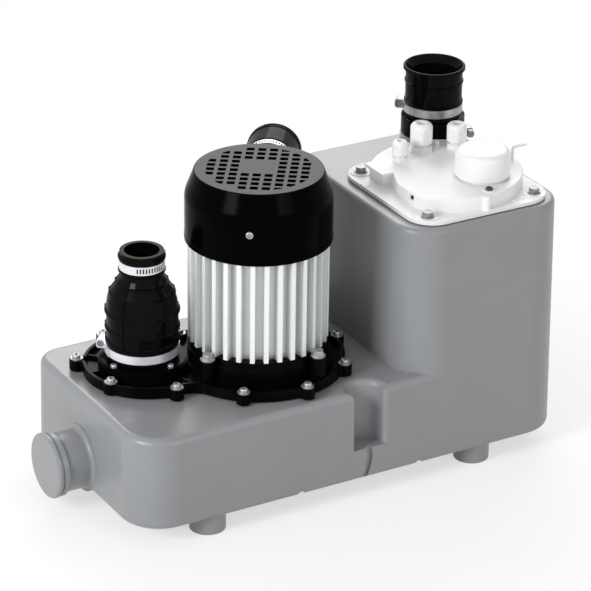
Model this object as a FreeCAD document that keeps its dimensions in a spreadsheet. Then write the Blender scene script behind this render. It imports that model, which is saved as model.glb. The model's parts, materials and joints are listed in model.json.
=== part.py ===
import FreeCAD, Part
import math
import os
import types
import Sketcher

# A compact lifting pump for grey water, in millimetres. Sizes and places in the table are measured
# from the left wall (X), the front wall (Y) and the floor (Z) of the tank. Every sub-part is then
# moved so that the origin is at the middle of the whole object's footprint, on the floor.

TABLE = {
    # Tank
    "tank_left": -4.6,
    "tank_right": 504.6,
    "tank_depth": 250.0,
    "foot_height": 21.0,
    "foot_radius": 19.0,
    "foot_inset": 22.9,
    "foot_left": 83.5,
    "foot_right": 101.7,
    "low_height": 101.0,
    "tower_height": 263.0,
    "tower_length": 196.6,
    "corner_radius": 44.0,
    "back_corner_radius": 28.0,
    "draft_angle": 0.8,
    "tank_wall": 5.0,
    "top_rounding": 6.0,
    "low_rounding": 8.0,
    "bottom_rounding": 6.0,
    "stub_length": 40.4,
    "stub_y": 135.0,
    "stub_rise": 29.0,
    "stub_lip_radius": 34.5,
    "stub_pipe_radius": 31.0,
    "stub_wall": 4.0,
    "stub_root": 5.0,
    "channel_x": 260.3,
    "channel_y": 7.0,
    "channel_radius": 18.5,
    "channel_rise": 35.0,
    "channel_flare": 6.8,
    "channel_edge": 6.0,
    "groove_width": 6.8,
    "groove_depth": 3.9,
    "notch_radius": 5.0,
    "notch_depth": 7.6,
    "notch_wall": 4.15,
    "notch_left": 181.9,
    "notch_right": 323.8,
    "opening_ledge": 17.0,
    # Pump plate
    "gasket_thickness": 2.0,
    "plate_thickness": 5.5,
    "boss_height": 11.5,
    "boss_radius": 7.6,
    "boss_rounding": 2.5,
    "plate_rim": 3.0,
    "pump_lobe_radius": 91.0,
    "valve_lobe_radius": 68.0,
    "valve_lobe_x": 7.8,
    "valve_lobe_y": 2.0,
    "waist_rounding": 24.0,
    "screw_pitch_radius": 93.2,
    "screw_first_angle": -128.0,
    "screw_step_angle": 41.8,
    "screw_radius": 3.0,
    "screw_head_radius": 4.4,
    "screw_head_height": 3.8,
    "screw_length": 26.0,
    "washer_radius": 6.6,
    "base_washer_radius": 7.6,
    "washer_thickness": 1.2,
    "hole_clearance": 0.2,
    "collar_radius": 46.5,
    "collar_height": 6.5,
    # Motor
    "motor_x": 190.0,
    "motor_y": 110.0,
    "base_radius": 73.5,
    "base_height": 23.0,
    "base_floor": 7.0,
    "base_lug_radius": 8.5,
    "base_lug_height": 21.6,
    "base_bolt_circle": 80.0,
    "base_bolt_angle": 21.0,
    "base_bolt_radius": 3.0,
    "base_bolt_hex": 6.0,
    "base_bolt_head": 5.6,
    "base_bolt_length": 30.3,
    "housing_height": 117.5,
    "housing_bore": 56.0,
    "housing_root": 63.0,
    "fin_tip": 73.0,
    "fin_width": 5.3,
    "fin_count": 32,
    "stator_inner": 33.0,
    "stator_rise": 28.0,
    "stator_height": 64.0,
    "slot_count": 12,
    "slot_radius": 4.2,
    "slot_circle": 41.0,
    "coil_inner": 36.0,
    "coil_outer": 51.0,
    "coil_height": 13.0,
    "air_gap": 0.6,
    "shaft_radius": 8.5,
    "rotor_seat_radius": 10.0,
    "shaft_tail": 8.0,
    "shaft_reach": 26.0,
    "bearing_radius": 20.0,
    "bearing_width": 12.0,
    "running_fit": 0.05,
    "push_fit": 0.05,
    "shield_flange": 4.0,
    "post_radius": 4.2,
    "post_inset": 4.5,
    "post_overlap": 1.15,
    "shield_hub_radius": 26.0,
    "shield_spigot": 6.0,
    "fan_radius": 60.0,
    "fan_rise": 14.0,
    "fan_height": 22.0,
    "fan_plate": 2.5,
    "fan_hub_radius": 15.0,
    "fan_blade": 2.4,
    "fan_blade_count": 7,
    # Fan cover
    "cover_overlap": 7.2,
    "cover_rim_step": 0.3,
    "cover_rim_height": 5.0,
    "cover_gap": 0.7,
    "cover_side_height": 49.2,
    "cover_dome_height": 25.0,
    "cover_slope": 9.7,
    "cover_wall": 2.4,
    "cover_shoulder_rounding": 26.0,
    "cover_edge_rounding": 1.5,
    "grille_angle": -34.3,
    "grille_pitch": 12.1,
    "grille_row_pitch": 11.1,
    "grille_hole_length": 8.3,
    "grille_hole_width": 7.3,
    "grille_radius": 55.5,
    "cover_screw_drop": 15.0,
    "cover_screw_angle": 233.8,
    "cover_screw_count": 3,
    "cover_screw_radius": 2.2,
    "cover_screw_head": 4.0,
    "cover_screw_length": 12.0,
    # Wet end under the plate
    "volute_radius": 50.0,
    "volute_growth": 2.6,
    "volute_wall": 4.0,
    "volute_drop": 16.0,
    "volute_height": 34.0,
    "suction_cover_thickness": 5.0,
    "suction_eye": 24.0,
    "strainer_radius": 46.0,
    "strainer_height": 35.0,
    "strainer_bars": 24,
    "strainer_bar": 3.0,
    "impeller_radius": 45.0,
    "impeller_blades": 6,
    "impeller_blade": 3.0,
    "impeller_plate": 3.5,
    "impeller_hub_radius": 15.0,
    "impeller_gap": 2.0,
    "nut_hex": 13.0,
    "nut_height": 8.0,
    "seal_radius": 15.0,
    "seal_height": 14.0,
    "volute_post_circle": 62.5,
    "volute_post_radius": 6.0,
    "volute_screw_radius": 2.5,
    "duct_radius": 15.0,
    "duct_wall": 3.0,
    "duct_drop": 16.0,
    "duct_inset": 0.8,
    "duct_bend": 24.0,
    # Valve and discharge cone
    "valve_offset_x": -114.8,
    "valve_offset_y": 38.0,
    "valve_flange_radius": 45.0,
    "valve_flange": 8.0,
    "spigot_radius": 33.2,
    "spigot_height": 17.5,
    "valve_bore": 28.5,
    "seat_radius": 16.5,
    "seat_height": 12.5,
    "flap_radius": 20.5,
    "flap_thickness": 4.0,
    "flap_hinge": 24.2,
    "flap_gap": 0.4,
    "pin_radius": 1.8,
    "knuckle_radius": 3.6,
    "valve_screw_circle": 41.0,
    "valve_screw_angle": 17.0,
    "valve_screw_radius": 2.0,
    "cone_wall": 3.6,
    "cone_seat_gap": 2.5,
    "cone_height": 116.4,
    "cone_mouth": 18.3,
    "cone_clamp_rise": 97.8,
    "cone_sleeve_radius": 37.4,
    "cone_rib_count": 5,
    "cone_rib_angle": 66.0,
    "cone_rib_width": 2.4,
    "cone_rib_rise": 0.9,
    # Hose clamps
    "band_thickness": 0.9,
    "clamp_width": 9.0,
    "clamp_screw_radius": 3.6,
    "clamp_slot_width": 1.5,
    "clamp_slot_pitch": 3.0,
    "clamp_fit": 0.15,
    # Top inlet sleeve
    "inlet_x": 456.8,
    "inlet_inset": 47.0,
    "inlet_spigot": 30.4,
    "inlet_spigot_wall": 3.4,
    "inlet_spigot_height": 30.0,
    "inlet_seat_gap": 1.5,
    "inlet_lower_radius": 34.2,
    "inlet_lower_length": 34.5,
    "inlet_body_radius": 30.5,
    "inlet_upper_length": 55.4,
    "inlet_lip_radius": 33.2,
    "inlet_lip": 4.4,
    "inlet_bore": 25.2,
    "inlet_mouth": 30.8,
    "inlet_bead": 1.1,
    "inlet_lower_clamp_rise": 5.0,
    "inlet_upper_clamp_rise": 4.6,
    # Rear riser and sleeve
    "riser_x": 252.0,
    "riser_inset": 41.5,
    "riser_radius": 20.8,
    "riser_wall": 3.0,
    "riser_bend": 26.0,
    "riser_height": 160.2,
    "riser_seal_radius": 24.5,
    "riser_seal_height": 7.0,
    "rear_angle": 53.0,
    "rear_reach": 82.4,
    "rear_sleeve_length": 56.0,
    "rear_sleeve_radius": 27.6,
    "rear_body_radius": 29.7,
    "rear_sleeve_wall": 2.6,
    "rear_spigot_radius": 25.6,
    "rear_spigot_length": 24.0,
    "rear_clamp_back": 48.0,
    # Control cover
    "control_x": 407.0,
    "control_y": 96.0,
    "control_hole": 60.0,
    "control_gasket": 1.0,
    "control_plate": 4.0,
    "control_half_x": 82.3,
    "control_half_y": 84.3,
    "control_corner": 30.0,
    "control_sleeve_gap": 4.6,
    "control_pad_radius": 12.0,
    "control_pad_rise": 0.8,
    "control_bolt_x": 65.2,
    "control_bolt_y": 66.3,
    "control_bolt_shift": -1.5,
    "control_bolt_radius": 3.0,
    "control_bolt_hex": 6.0,
    "control_bolt_flange": 7.0,
    "control_bolt_head": 6.0,
    "control_bolt_length": 18.0,
    "box_radius": 80.2,
    "box_x": 0.8,
    "box_y": 1.6,
    "box_height": 15.0,
    "box_wall": 3.0,
    "box_flat": 64.7,
    "box_corner": 40.0,
    "box_edge": 2.0,
    "tab_length": 26.0,
    "tab_width": 35.0,
    "tab_thickness": 3.0,
    "tab_x": -67.2,
    "tab_y": 19.2,
    "case_screw_x": 8.7,
    "case_screw_y": -68.2,
    "case_boss_radius": 6.8,
    "case_slot_angle": 209.0,
    "column_x": -1.1,
    "column_y": -79.3,
    "column_radius": 4.4,
    "case_boss_rise": 1.0,
    "dome_x": 24.2,
    "dome_y": -31.0,
    "dome_radius": 29.3,
    "dome_neck_height": 3.0,
    "dome_height": 29.5,
    "dome_rounding": 8.0,
    "dome_crown": 2.4,
    "dome_wall": 2.4,
    "dome_neck": 26.0,
    "vent_x": 75.2,
    "vent_y": -10.7,
    "vent_radius": 1.5,
    "vent_rise": 14.0,
    "vent_reach": 16.0,
    "nub_x": 24.0,
    "nub_y": 57.0,
    "nub_radius": 2.5,
    "nub_height": 6.0,
    "small_gland_x": -30.4,
    "small_gland_y": 44.0,
    "small_gland_radius": 8.6,
    "small_gland_height": 22.0,
    "large_gland_x": 3.7,
    "large_gland_y": 56.5,
    "large_gland_radius": 12.5,
    "large_gland_height": 31.0,
    "middle_gland_x": 41.6,
    "middle_gland_y": 46.2,
    "middle_gland_radius": 11.4,
    "middle_gland_height": 27.0,
    # Inside the control cover
    "board_length": 62.0,
    "board_width": 46.0,
    "board_thickness": 1.6,
    "board_x": -16.0,
    "board_y": -8.0,
    "capacitor_radius": 3.4,
    "switch_length": 20.0,
    "switch_width": 10.0,
    "switch_height": 9.0,
    "switch_rise": 10.0,
    "seat_gap": 0.3,
    "membrane_radius": 24.0,
    "membrane_drop": 0.5,
    "membrane_thickness": 1.2,
    "plunger_radius": 2.6,
    "plunger_height": 5.0,
    "dip_tube_radius": 5.0,
    "dip_tube_rise": 24.0,
}

# Screws round the valve lobe, as (X, Y) steps from the axis of the discharge cone.
VALVE_LOBE_SCREWS = [(2.7, -69.7), (-50.2, -26.4), (-56.9, 39.0), (-7.4, 75.6)]

# Middle of the groove under the front channel, as (X from its axis, height over its floor).
FRONT_GROOVE = [(-6.2, 6.5), (0.7, -0.5), (2.3, -10.0), (-0.1, -24.0), (-4.9, -36.0)]

# Recess in the control box beside its tab, as (X, Y) steps from the centre of the cover.
BOX_RECESS = [(-75.0, -7.0), (-64.7, -7.0), (-53.2, 20.4), (-75.0, 20.4)]

# Small notches in the edge of the cover plate, as (X, Y) steps from its centre.
PLATE_NOTCHES = [(-82.6, 36.0), (-82.6, -42.5)]

# Low ribs on the cover plate, as (X from, X to, Y from, Y to) from its centre.
PLATE_RIBS = [(-81.0, -66.0, 29.2, 30.4), (32.5, 52.0, -75.0, -73.8)]

# Outer shape of the discharge cone above its sleeve, as (radius, height over the cone's foot).
CONE_STEPS = [
    (38.0, 16.8),
    (38.9, 17.8),
    (38.9, 19.4),
    (37.2, 20.6),
    (37.6, 30.4),
    (38.9, 31.4),
    (38.9, 32.8),
    (37.0, 34.2),
    (37.3, 48.8),
    (39.0, 49.8),
    (39.0, 51.2),
    (37.2, 52.6),
    (35.9, 62.0),
    (33.8, 68.6),
    (34.8, 69.4),
    (34.5, 71.0),
    (32.7, 72.2),
    (27.2, 80.2),
    (28.0, 81.0),
    (27.5, 82.6),
    (25.9, 83.4),
    (22.9, 88.4),
    (22.7, 93.4),
    (24.6, 95.2),
    (24.6, 96.4),
    (22.6, 97.2),
    (22.6, 107.0),
    (24.6, 109.4),
    (24.6, 111.4),
    (22.8, 113.0),
]

UP = FreeCAD.Vector(0, 0, 1)
DOC = FreeCAD.newDocument("GreyWaterPump")
SUBPARTS = {}


class Size:
    """A number together with its formula, so that what is made from it stays bound to the table."""

    def __init__(self, value, formula):
        self.value = float(value)
        self.formula = formula

    def __add__(self, other):
        other = as_size(other)
        return Size(self.value + other.value, "(%s + %s)" % (self.formula, other.formula))

    def __sub__(self, other):
        other = as_size(other)
        return Size(self.value - other.value, "(%s - %s)" % (self.formula, other.formula))

    def __mul__(self, other):
        other = as_size(other)
        return Size(self.value * other.value, "(%s * %s)" % (self.formula, other.formula))

    def __truediv__(self, other):
        other = as_size(other)
        return Size(self.value / other.value, "(%s / %s)" % (self.formula, other.formula))

    def __radd__(self, other):
        return as_size(other) + self

    def __rsub__(self, other):
        return as_size(other) - self

    def __rmul__(self, other):
        return as_size(other) * self

    def __neg__(self):
        return as_size(0) - self


def as_size(number):
    """Return a plain number as a size whose formula is that number."""
    if isinstance(number, Size):
        return number
    return Size(number, "(%s)" % float(number))


def cosine(angle):
    """Cosine of an angle in degrees."""
    angle = as_size(angle)
    return Size(math.cos(math.radians(angle.value)), "cos(%s)" % angle.formula)


def sine(angle):
    """Sine of an angle in degrees."""
    angle = as_size(angle)
    return Size(math.sin(math.radians(angle.value)), "sin(%s)" % angle.formula)


def read_table():
    """Fill the sheet and return its sizes, once with formulas and once as plain numbers."""
    sheet = DOC.addObject("Spreadsheet::Sheet", "Sizes")
    for row, (name, number) in enumerate(TABLE.items(), start=1):
        sheet.set("A%d" % row, name)
        sheet.set("B%d" % row, str(number))
        sheet.setAlias("B%d" % row, name)
    DOC.recompute()
    numbers = {name: float(sheet.get(name)) for name in TABLE}
    sizes = {name: Size(numbers[name], "Sizes.%s" % name) for name in TABLE}
    return types.SimpleNamespace(**sizes), types.SimpleNamespace(**numbers)


S, V = read_table()


def derive(name, amount):
    """Add a height or a place that follows from the table to both sets of sizes."""
    setattr(S, name, amount)
    setattr(V, name, amount.value)


def add_places():
    """Radii and places in the plan that follow from the pieces they go with."""
    derive("cover_radius", S.fin_tip + S.cover_gap + S.cover_wall)
    derive("cover_rim_radius", S.cover_radius + S.cover_rim_step)
    derive("cover_disc_radius", S.cover_radius - S.cover_slope)
    derive("post_reach", S.cover_radius - S.cover_wall - S.push_fit - S.post_inset)
    derive("shield_radius", S.post_reach - S.post_overlap)
    derive("inlet_y", S.tank_depth - S.inlet_inset)
    derive("riser_y", S.tank_depth - S.riser_inset)
    derive("valve_x", S.motor_x + S.valve_offset_x)
    derive("valve_y", S.motor_y + S.valve_offset_y)


def add_heights():
    """Heights over the floor, each stacked on what carries it."""
    derive("low_top", S.foot_height + S.low_height)
    derive("tower_top", S.foot_height + S.tower_height)
    derive("stub_z", S.foot_height + S.stub_rise)
    derive("channel_floor", S.foot_height + S.channel_rise)
    derive("boss_top", S.low_top + S.gasket_thickness + S.boss_height)
    derive("collar_top", S.boss_top + S.collar_height)
    derive("base_top", S.boss_top + S.base_height)
    derive("base_lug_top", S.boss_top + S.base_lug_height)
    derive("housing_top", S.base_top + S.housing_height)
    derive("stator_bottom", S.base_top + S.stator_rise)
    derive("stator_top", S.stator_bottom + S.stator_height)
    derive("fan_bottom", S.housing_top + S.fan_rise)
    derive("shaft_top", S.fan_bottom + S.shaft_reach)
    derive("cover_bottom", S.housing_top - S.cover_overlap)
    derive("cover_shoulder", S.cover_bottom + S.cover_side_height)
    derive("cover_top", S.cover_shoulder + S.cover_dome_height)
    derive("cover_screw_height", S.cover_shoulder - S.cover_screw_drop)
    derive("volute_roof", S.low_top + S.gasket_thickness - S.volute_drop)
    derive("volute_floor", S.volute_roof - S.volute_height)
    derive("strainer_bottom", S.volute_floor - S.suction_cover_thickness - S.strainer_height)
    derive("shaft_bottom", S.volute_floor - S.shaft_tail)
    derive("duct_z", S.volute_roof - S.duct_drop)
    derive("flange_top", S.boss_top + S.valve_flange)
    derive("spigot_top", S.flange_top + S.spigot_height)
    derive("seat_top", S.boss_top + S.seat_height)
    derive("cone_bottom", S.flange_top + S.cone_seat_gap)
    derive("cone_top", S.cone_bottom + S.cone_height)
    derive("inlet_spigot_top", S.tower_top + S.inlet_spigot_height)
    derive("inlet_bottom", S.tower_top + S.inlet_seat_gap)
    derive("inlet_step", S.inlet_bottom + S.inlet_lower_length)
    derive("inlet_top", S.inlet_step + S.inlet_upper_length)
    derive("inlet_lower_clamp", S.inlet_bottom + S.inlet_lower_clamp_rise)
    derive("inlet_upper_clamp", S.inlet_step + S.inlet_upper_clamp_rise)
    derive("riser_turn_z", S.low_top + S.riser_height)
    derive("plate_bottom", S.low_top + S.gasket_thickness)
    derive("control_bottom", S.tower_top + S.control_gasket)
    derive("control_top", S.control_bottom + S.control_plate)
    derive("pad_top", S.control_top + S.control_pad_rise)
    derive("box_top", S.control_top + S.box_height)
    derive("dome_bottom", S.box_top + S.dome_neck_height)
    derive("dome_top", S.dome_bottom + S.dome_height)
    derive("switch_bottom", S.dome_bottom + S.switch_rise)
    derive("membrane_height", S.dome_bottom - S.membrane_drop)
    derive("dip_tube_bottom", S.foot_height + S.dip_tube_rise)


add_places()
add_heights()

# The rear sleeve reaches furthest back: its rim stands across the line of the riser's upper end.
REAR_END_Y = S.riser_y + S.rear_reach * sine(S.rear_angle) + S.rear_body_radius * cosine(S.rear_angle)
CENTRE_X = (S.tank_right + S.tank_left - S.stub_length) / 2
CENTRE_Y = REAR_END_Y / 2


# Building blocks


def bind(thing, name, amount):
    """Bind one property of a document object to a size."""
    thing.setExpression(name, as_size(amount).formula)


def place(thing, label, x=0, y=0, z=0, turn=0):
    """Name a finished sub-part and stand it at its place in the whole object."""
    across = as_size(x) - CENTRE_X
    deep = as_size(y) - CENTRE_Y
    up = as_size(z)
    spot = FreeCAD.Vector(across.value, deep.value, up.value)
    thing.Placement = FreeCAD.Placement(spot, FreeCAD.Rotation(UP, as_size(turn).value))
    bind(thing, "Placement.Base.x", across)
    bind(thing, "Placement.Base.y", deep)
    bind(thing, "Placement.Base.z", up)
    thing.Label = label
    SUBPARTS[label] = thing
    return thing


def shift(thing, x=0, y=0, z=0):
    """Move a piece of a sub-part inside the sub-part's own frame."""
    for letter, amount in zip("xyz", (x, y, z)):
        bind(thing, "Placement.Base.%s" % letter, amount)
    return thing


def cylinder(name, radius, height, x=0, y=0, z=0):
    thing = DOC.addObject("Part::Cylinder", name)
    bind(thing, "Radius", radius)
    bind(thing, "Height", height)
    return shift(thing, x, y, z)


def box(name, length, width, height, x=0, y=0, z=0):
    """Box centred in X and Y on its place, standing on it in Z."""
    length, width = as_size(length), as_size(width)
    thing = DOC.addObject("Part::Box", name)
    bind(thing, "Length", length)
    bind(thing, "Width", width)
    bind(thing, "Height", height)
    return shift(thing, as_size(x) - length / 2, as_size(y) - width / 2, z)


def fuse(name, *things):
    thing = DOC.addObject("Part::MultiFuse", name)
    thing.Shapes = list(things)
    return thing


def cut(name, base, *tools):
    thing = DOC.addObject("Part::Cut", name)
    thing.Base = base
    thing.Tool = tools[0] if len(tools) == 1 else fuse(name + "Tools", *tools)
    return thing


def formed(name, shape):
    """Sub-part whose form comes from the geometry functions below."""
    thing = DOC.addObject("Part::Feature", name)
    thing.Shape = shape if shape.Placement.isIdentity() else Part.makeCompound([shape])
    return thing


def plane_of(body, role):
    """One of the three origin planes of a body."""
    for feature in body.Origin.OriginFeatures:
        if feature.Role == role:
            return feature
    raise ValueError("no plane " + role)


def hold(sketch, kind, line, amount):
    """Fix the start of a line of a sketch across or up from the sketch's origin."""
    if not isinstance(amount, Size) and amount == 0:
        axis = -2 if kind == "DistanceX" else -1
        sketch.addConstraint(Sketcher.Constraint("PointOnObject", line, 1, axis))
        return
    amount = as_size(amount)
    index = sketch.addConstraint(Sketcher.Constraint(kind, -1, 1, line, 1, amount.value))
    sketch.setExpression("Constraints[%d]" % index, amount.formula)


def outline(body, role, name, points):
    """Sketch of one closed outline of straight lines through points given as (across, up)."""
    sketch = body.newObject("Sketcher::SketchObject", name)
    sketch.AttachmentSupport = (plane_of(body, role), [""])
    sketch.MapMode = "FlatFace"
    corners = [FreeCAD.Vector(as_size(a).value, as_size(b).value, 0) for a, b in points]
    following = corners[1:] + corners[:1]
    lines = [Part.LineSegment(start, end) for start, end in zip(corners, following)]
    sketch.addGeometry(lines, False)
    count = len(points)
    for index in range(count):
        joint = Sketcher.Constraint("Coincident", index, 2, (index + 1) % count, 1)
        sketch.addConstraint(joint)
    for index, (across, up) in enumerate(points):
        hold(sketch, "DistanceX", index, across)
        hold(sketch, "DistanceY", index, up)
    return sketch


def circles(body, name, radii):
    """Sketch of circles round the origin on the XY plane."""
    sketch = body.newObject("Sketcher::SketchObject", name)
    sketch.AttachmentSupport = (plane_of(body, "XY_Plane"), [""])
    sketch.MapMode = "FlatFace"
    for index, radius in enumerate(radii):
        radius = as_size(radius)
        sketch.addGeometry(Part.Circle(FreeCAD.Vector(), UP, radius.value), False)
        sketch.addConstraint(Sketcher.Constraint("Coincident", index, 3, -1, 1))
        held = sketch.addConstraint(Sketcher.Constraint("Radius", index, radius.value))
        sketch.setExpression("Constraints[%d]" % held, radius.formula)
    return sketch


def round_edges(body, feature, name, spots, radius):
    """Round the circular edges that lie at (radius, height) spots of a turned body."""
    DOC.recompute()
    names = []
    for number, edge in enumerate(feature.Shape.Edges, start=1):
        if not isinstance(edge.Curve, Part.Circle):
            continue
        for across, up in spots:
            same_radius = abs(edge.Curve.Radius - as_size(across).value) < 0.001
            same_height = abs(edge.Curve.Center.z - as_size(up).value) < 0.001
            if same_radius and same_height:
                names.append("Edge%d" % number)
    rounding = body.newObject("PartDesign::Fillet", name)
    rounding.Base = (feature, names)
    bind(rounding, "Radius", radius)
    return rounding


def turned(name, points, roundings=()):
    """Body turned about its Z axis from (radius, height) points, with some edges rounded."""
    body = DOC.addObject("PartDesign::Body", name)
    sketch = outline(body, "XZ_Plane", name + "Profile", points)
    feature = body.newObject("PartDesign::Revolution", name + "Turn")
    feature.Profile = sketch
    feature.ReferenceAxis = (sketch, ["V_Axis"])
    feature.Angle = 360
    for number, (spots, radius) in enumerate(roundings, start=1):
        feature = round_edges(body, feature, "%sRounding%d" % (name, number), spots, radius)
    body.Tip = feature
    return body


def padded_rings(name, radii, height):
    """Body with one pad between circles round the Z axis."""
    body = DOC.addObject("PartDesign::Body", name)
    pad = body.newObject("PartDesign::Pad", name + "Pad")
    pad.Profile = circles(body, name + "Circles", radii)
    bind(pad, "Length", height)
    body.Tip = pad
    return body, pad


# Geometry functions for forms that sketches and primitives don't reach


def vec(x, y, z=0.0):
    return FreeCAD.Vector(x, y, z)


def rod(radius, bottom, top, x=0.0, y=0.0):
    return Part.makeCylinder(radius, top - bottom, vec(x, y, bottom))


def ring(outer, inner, bottom, top, x=0.0, y=0.0):
    return rod(outer, bottom, top, x, y).cut(rod(inner, bottom - 1, top + 1, x, y))


def hexagon(radius, bottom, top, x=0.0, y=0.0):
    """Hexagonal prism; the radius reaches its corners."""
    corners = [vec(x + radius * math.cos(math.radians(a)), y + radius * math.sin(math.radians(a)), bottom)
               for a in range(0, 361, 60)]
    return Part.Face(Part.makePolygon(corners)).extrude(vec(0, 0, top - bottom))


def slab(x0, x1, y0, y1, z0, z1):
    return Part.makeBox(x1 - x0, y1 - y0, z1 - z0, vec(x0, y0, z0))


def spun(shape, angle, x=0.0, y=0.0):
    """Copy of a shape turned about an upright axis."""
    copy = shape.copy()
    copy.rotate(vec(x, y), UP, angle)
    return copy


def moved(shape, x=0.0, y=0.0, z=0.0):
    copy = shape.copy()
    copy.translate(vec(x, y, z))
    return copy


def round_about(shape, count, start=0.0):
    """Copies of a shape spread evenly round the Z axis."""
    return [spun(shape, start + 360.0 * i / count) for i in range(count)]


def lathe(points):
    """Solid turned about the Z axis from (radius, height) points."""
    corners = [vec(r, 0, z) for r, z in points]
    return Part.Face(Part.makePolygon(corners + corners[:1])).revolve(vec(0, 0), UP, 360)


def rounded_wire(x0, x1, y0, y1, z, front_radius, back_radius):
    """Rectangle with round corners, flat at height z."""
    corners = [(x1, y0, 1, -1, front_radius), (x1, y1, 1, 1, back_radius),
               (x0, y1, -1, 1, back_radius), (x0, y0, -1, -1, front_radius)]
    edges = []
    last = None
    first = None
    for x, y, sx, sy, radius in corners:
        cx = x - sx * radius
        cy = y - sy * radius
        half = radius * math.sqrt(0.5)
        along = vec(cx + sx * radius, cy, z)
        aside = vec(cx, cy + sy * radius, z)
        start, end = (aside, along) if sx * sy < 0 else (along, aside)
        if last is not None:
            edges.append(Part.makeLine(last, start))
        else:
            first = start
        middle = vec(cx + sx * half, cy + sy * half, z)
        edges.append(Part.Arc(start, middle, end).toShape())
        last = end
    edges.append(Part.makeLine(last, first))
    return Part.Wire(edges)


def drafted_block(x0, x1, y0, y1, z0, z1, gap, inset):
    """Block with the tank's round corners, whose walls lean in by the inset from z0 up to z1."""
    front = V.corner_radius - gap
    back = V.back_corner_radius - gap
    bottom = rounded_wire(x0, x1, y0, y1, z0, front, back)
    top = rounded_wire(x0 + inset, x1 - inset, y0 + inset, y1 - inset, z1, front - inset, back - inset)
    return Part.makeLoft([bottom, top], True, True)


def soften(shape, radius, wanted):
    """Round the edges that the wanted test picks."""
    edges = [edge for edge in shape.Edges if wanted(edge)]
    return shape.makeFillet(radius, edges)


def pipe(points, radius, bend):
    """Round bar along straight runs joined by bends of one radius."""
    spots = [vec(*p) for p in points]
    edges = []
    start = spots[0]
    for before, corner, after in zip(spots, spots[1:], spots[2:]):
        inward = (before - corner).normalize()
        outward = (after - corner).normalize()
        half_turn = (math.pi - inward.getAngle(outward)) / 2
        setback = bend * math.tan(half_turn)
        begin = corner + inward * setback
        end = corner + outward * setback
        centre_way = (inward + outward).normalize()
        middle = corner + centre_way * (bend / math.cos(half_turn) - bend)
        edges.append(Part.makeLine(start, begin))
        edges.append(Part.Arc(begin, middle, end).toShape())
        start = end
    edges.append(Part.makeLine(start, spots[-1]))
    path = Part.Wire(edges)
    heading = (spots[1] - spots[0]).normalize()
    section = Part.Wire([Part.makeCircle(radius, spots[0], heading)])
    return path.makePipeShell([section], True, True)


# Tank


def plate_screw_spots():
    """Places of the screws round the pump plate, in the tank's frame."""
    spots = []
    for i in range(7):
        angle = math.radians(V.screw_first_angle + i * V.screw_step_angle)
        x = V.motor_x + V.screw_pitch_radius * math.cos(angle)
        y = V.motor_y + V.screw_pitch_radius * math.sin(angle)
        spots.append((x, y))
    for dx, dy in VALVE_LOBE_SCREWS:
        spots.append((V.valve_x + dx, V.valve_y + dy))
    return spots


def level_outline(solid):
    """Face inside the outer edge of a solid that stands on height 0."""
    flat = [face for face in solid.Faces if face.normalAt(0, 0).z < -0.9][0]
    return Part.Face(flat.OuterWire)


def closed_in(face, radius, shrink=0.0):
    """Face whose inward corners are rounded, drawn in from its edge by a shrink."""
    grown = face.makeOffset2D(radius)
    return Part.Face(grown.makeOffset2D(-radius - shrink).OuterWire)


def plate_face(height, shrink=0.0):
    """Outline of the pump plate as a flat face: two lobes, and the bosses where they still show."""
    pump_lobe = rod(V.pump_lobe_radius, 0, 1, V.motor_x, V.motor_y)
    valve_lobe = rod(V.valve_lobe_radius, 0, 1, V.valve_x + V.valve_lobe_x, V.valve_y + V.valve_lobe_y)
    lobes = level_outline(pump_lobe.fuse(valve_lobe).removeSplitter())
    if shrink > V.boss_radius:
        return moved(closed_in(lobes, V.waist_rounding, shrink), z=height)
    body = closed_in(lobes, V.waist_rounding).extrude(vec(0, 0, 1))
    bosses = [rod(V.boss_radius, 0, 1, x, y) for x, y in plate_screw_spots()]
    whole = level_outline(body.fuse(bosses).removeSplitter())
    return moved(closed_in(whole, V.boss_rounding, shrink), z=height)


def tank_blocks(gap):
    """Low part and tower as one solid, held in from the outer walls by a gap."""
    lean = math.tan(math.radians(V.draft_angle))
    bottom = V.foot_height + gap
    low_height = V.low_top - V.foot_height - 2 * gap
    tower_height = V.tower_top - V.foot_height - 2 * gap
    back = V.tank_depth - gap
    right = V.tank_right - gap
    tower_left = V.tank_right - V.tower_length - lean * (V.low_top - V.foot_height) + gap
    left = V.tank_left + gap
    low = drafted_block(left, right, gap, back, bottom, bottom + low_height, gap, lean * low_height)
    tower = drafted_block(tower_left, right, gap, back, bottom, bottom + tower_height, gap,
                          lean * tower_height)
    if gap == 0:
        low = soften(low, V.low_rounding, lambda e: is_level_at(e, V.low_top))
        tower = soften(tower, V.top_rounding, lambda e: is_level_at(e, V.tower_top))
        low = soften(low, V.bottom_rounding, lambda e: is_level_at(e, V.foot_height))
        tower = soften(tower, V.bottom_rounding, lambda e: is_level_at(e, V.foot_height))
    return low.fuse(tower).removeSplitter()


def is_level_at(edge, height):
    """True for an edge that lies flat at one height."""
    box_of_edge = edge.BoundBox
    return abs(box_of_edge.ZMin - height) < 0.01 and abs(box_of_edge.ZMax - height) < 0.01


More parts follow.
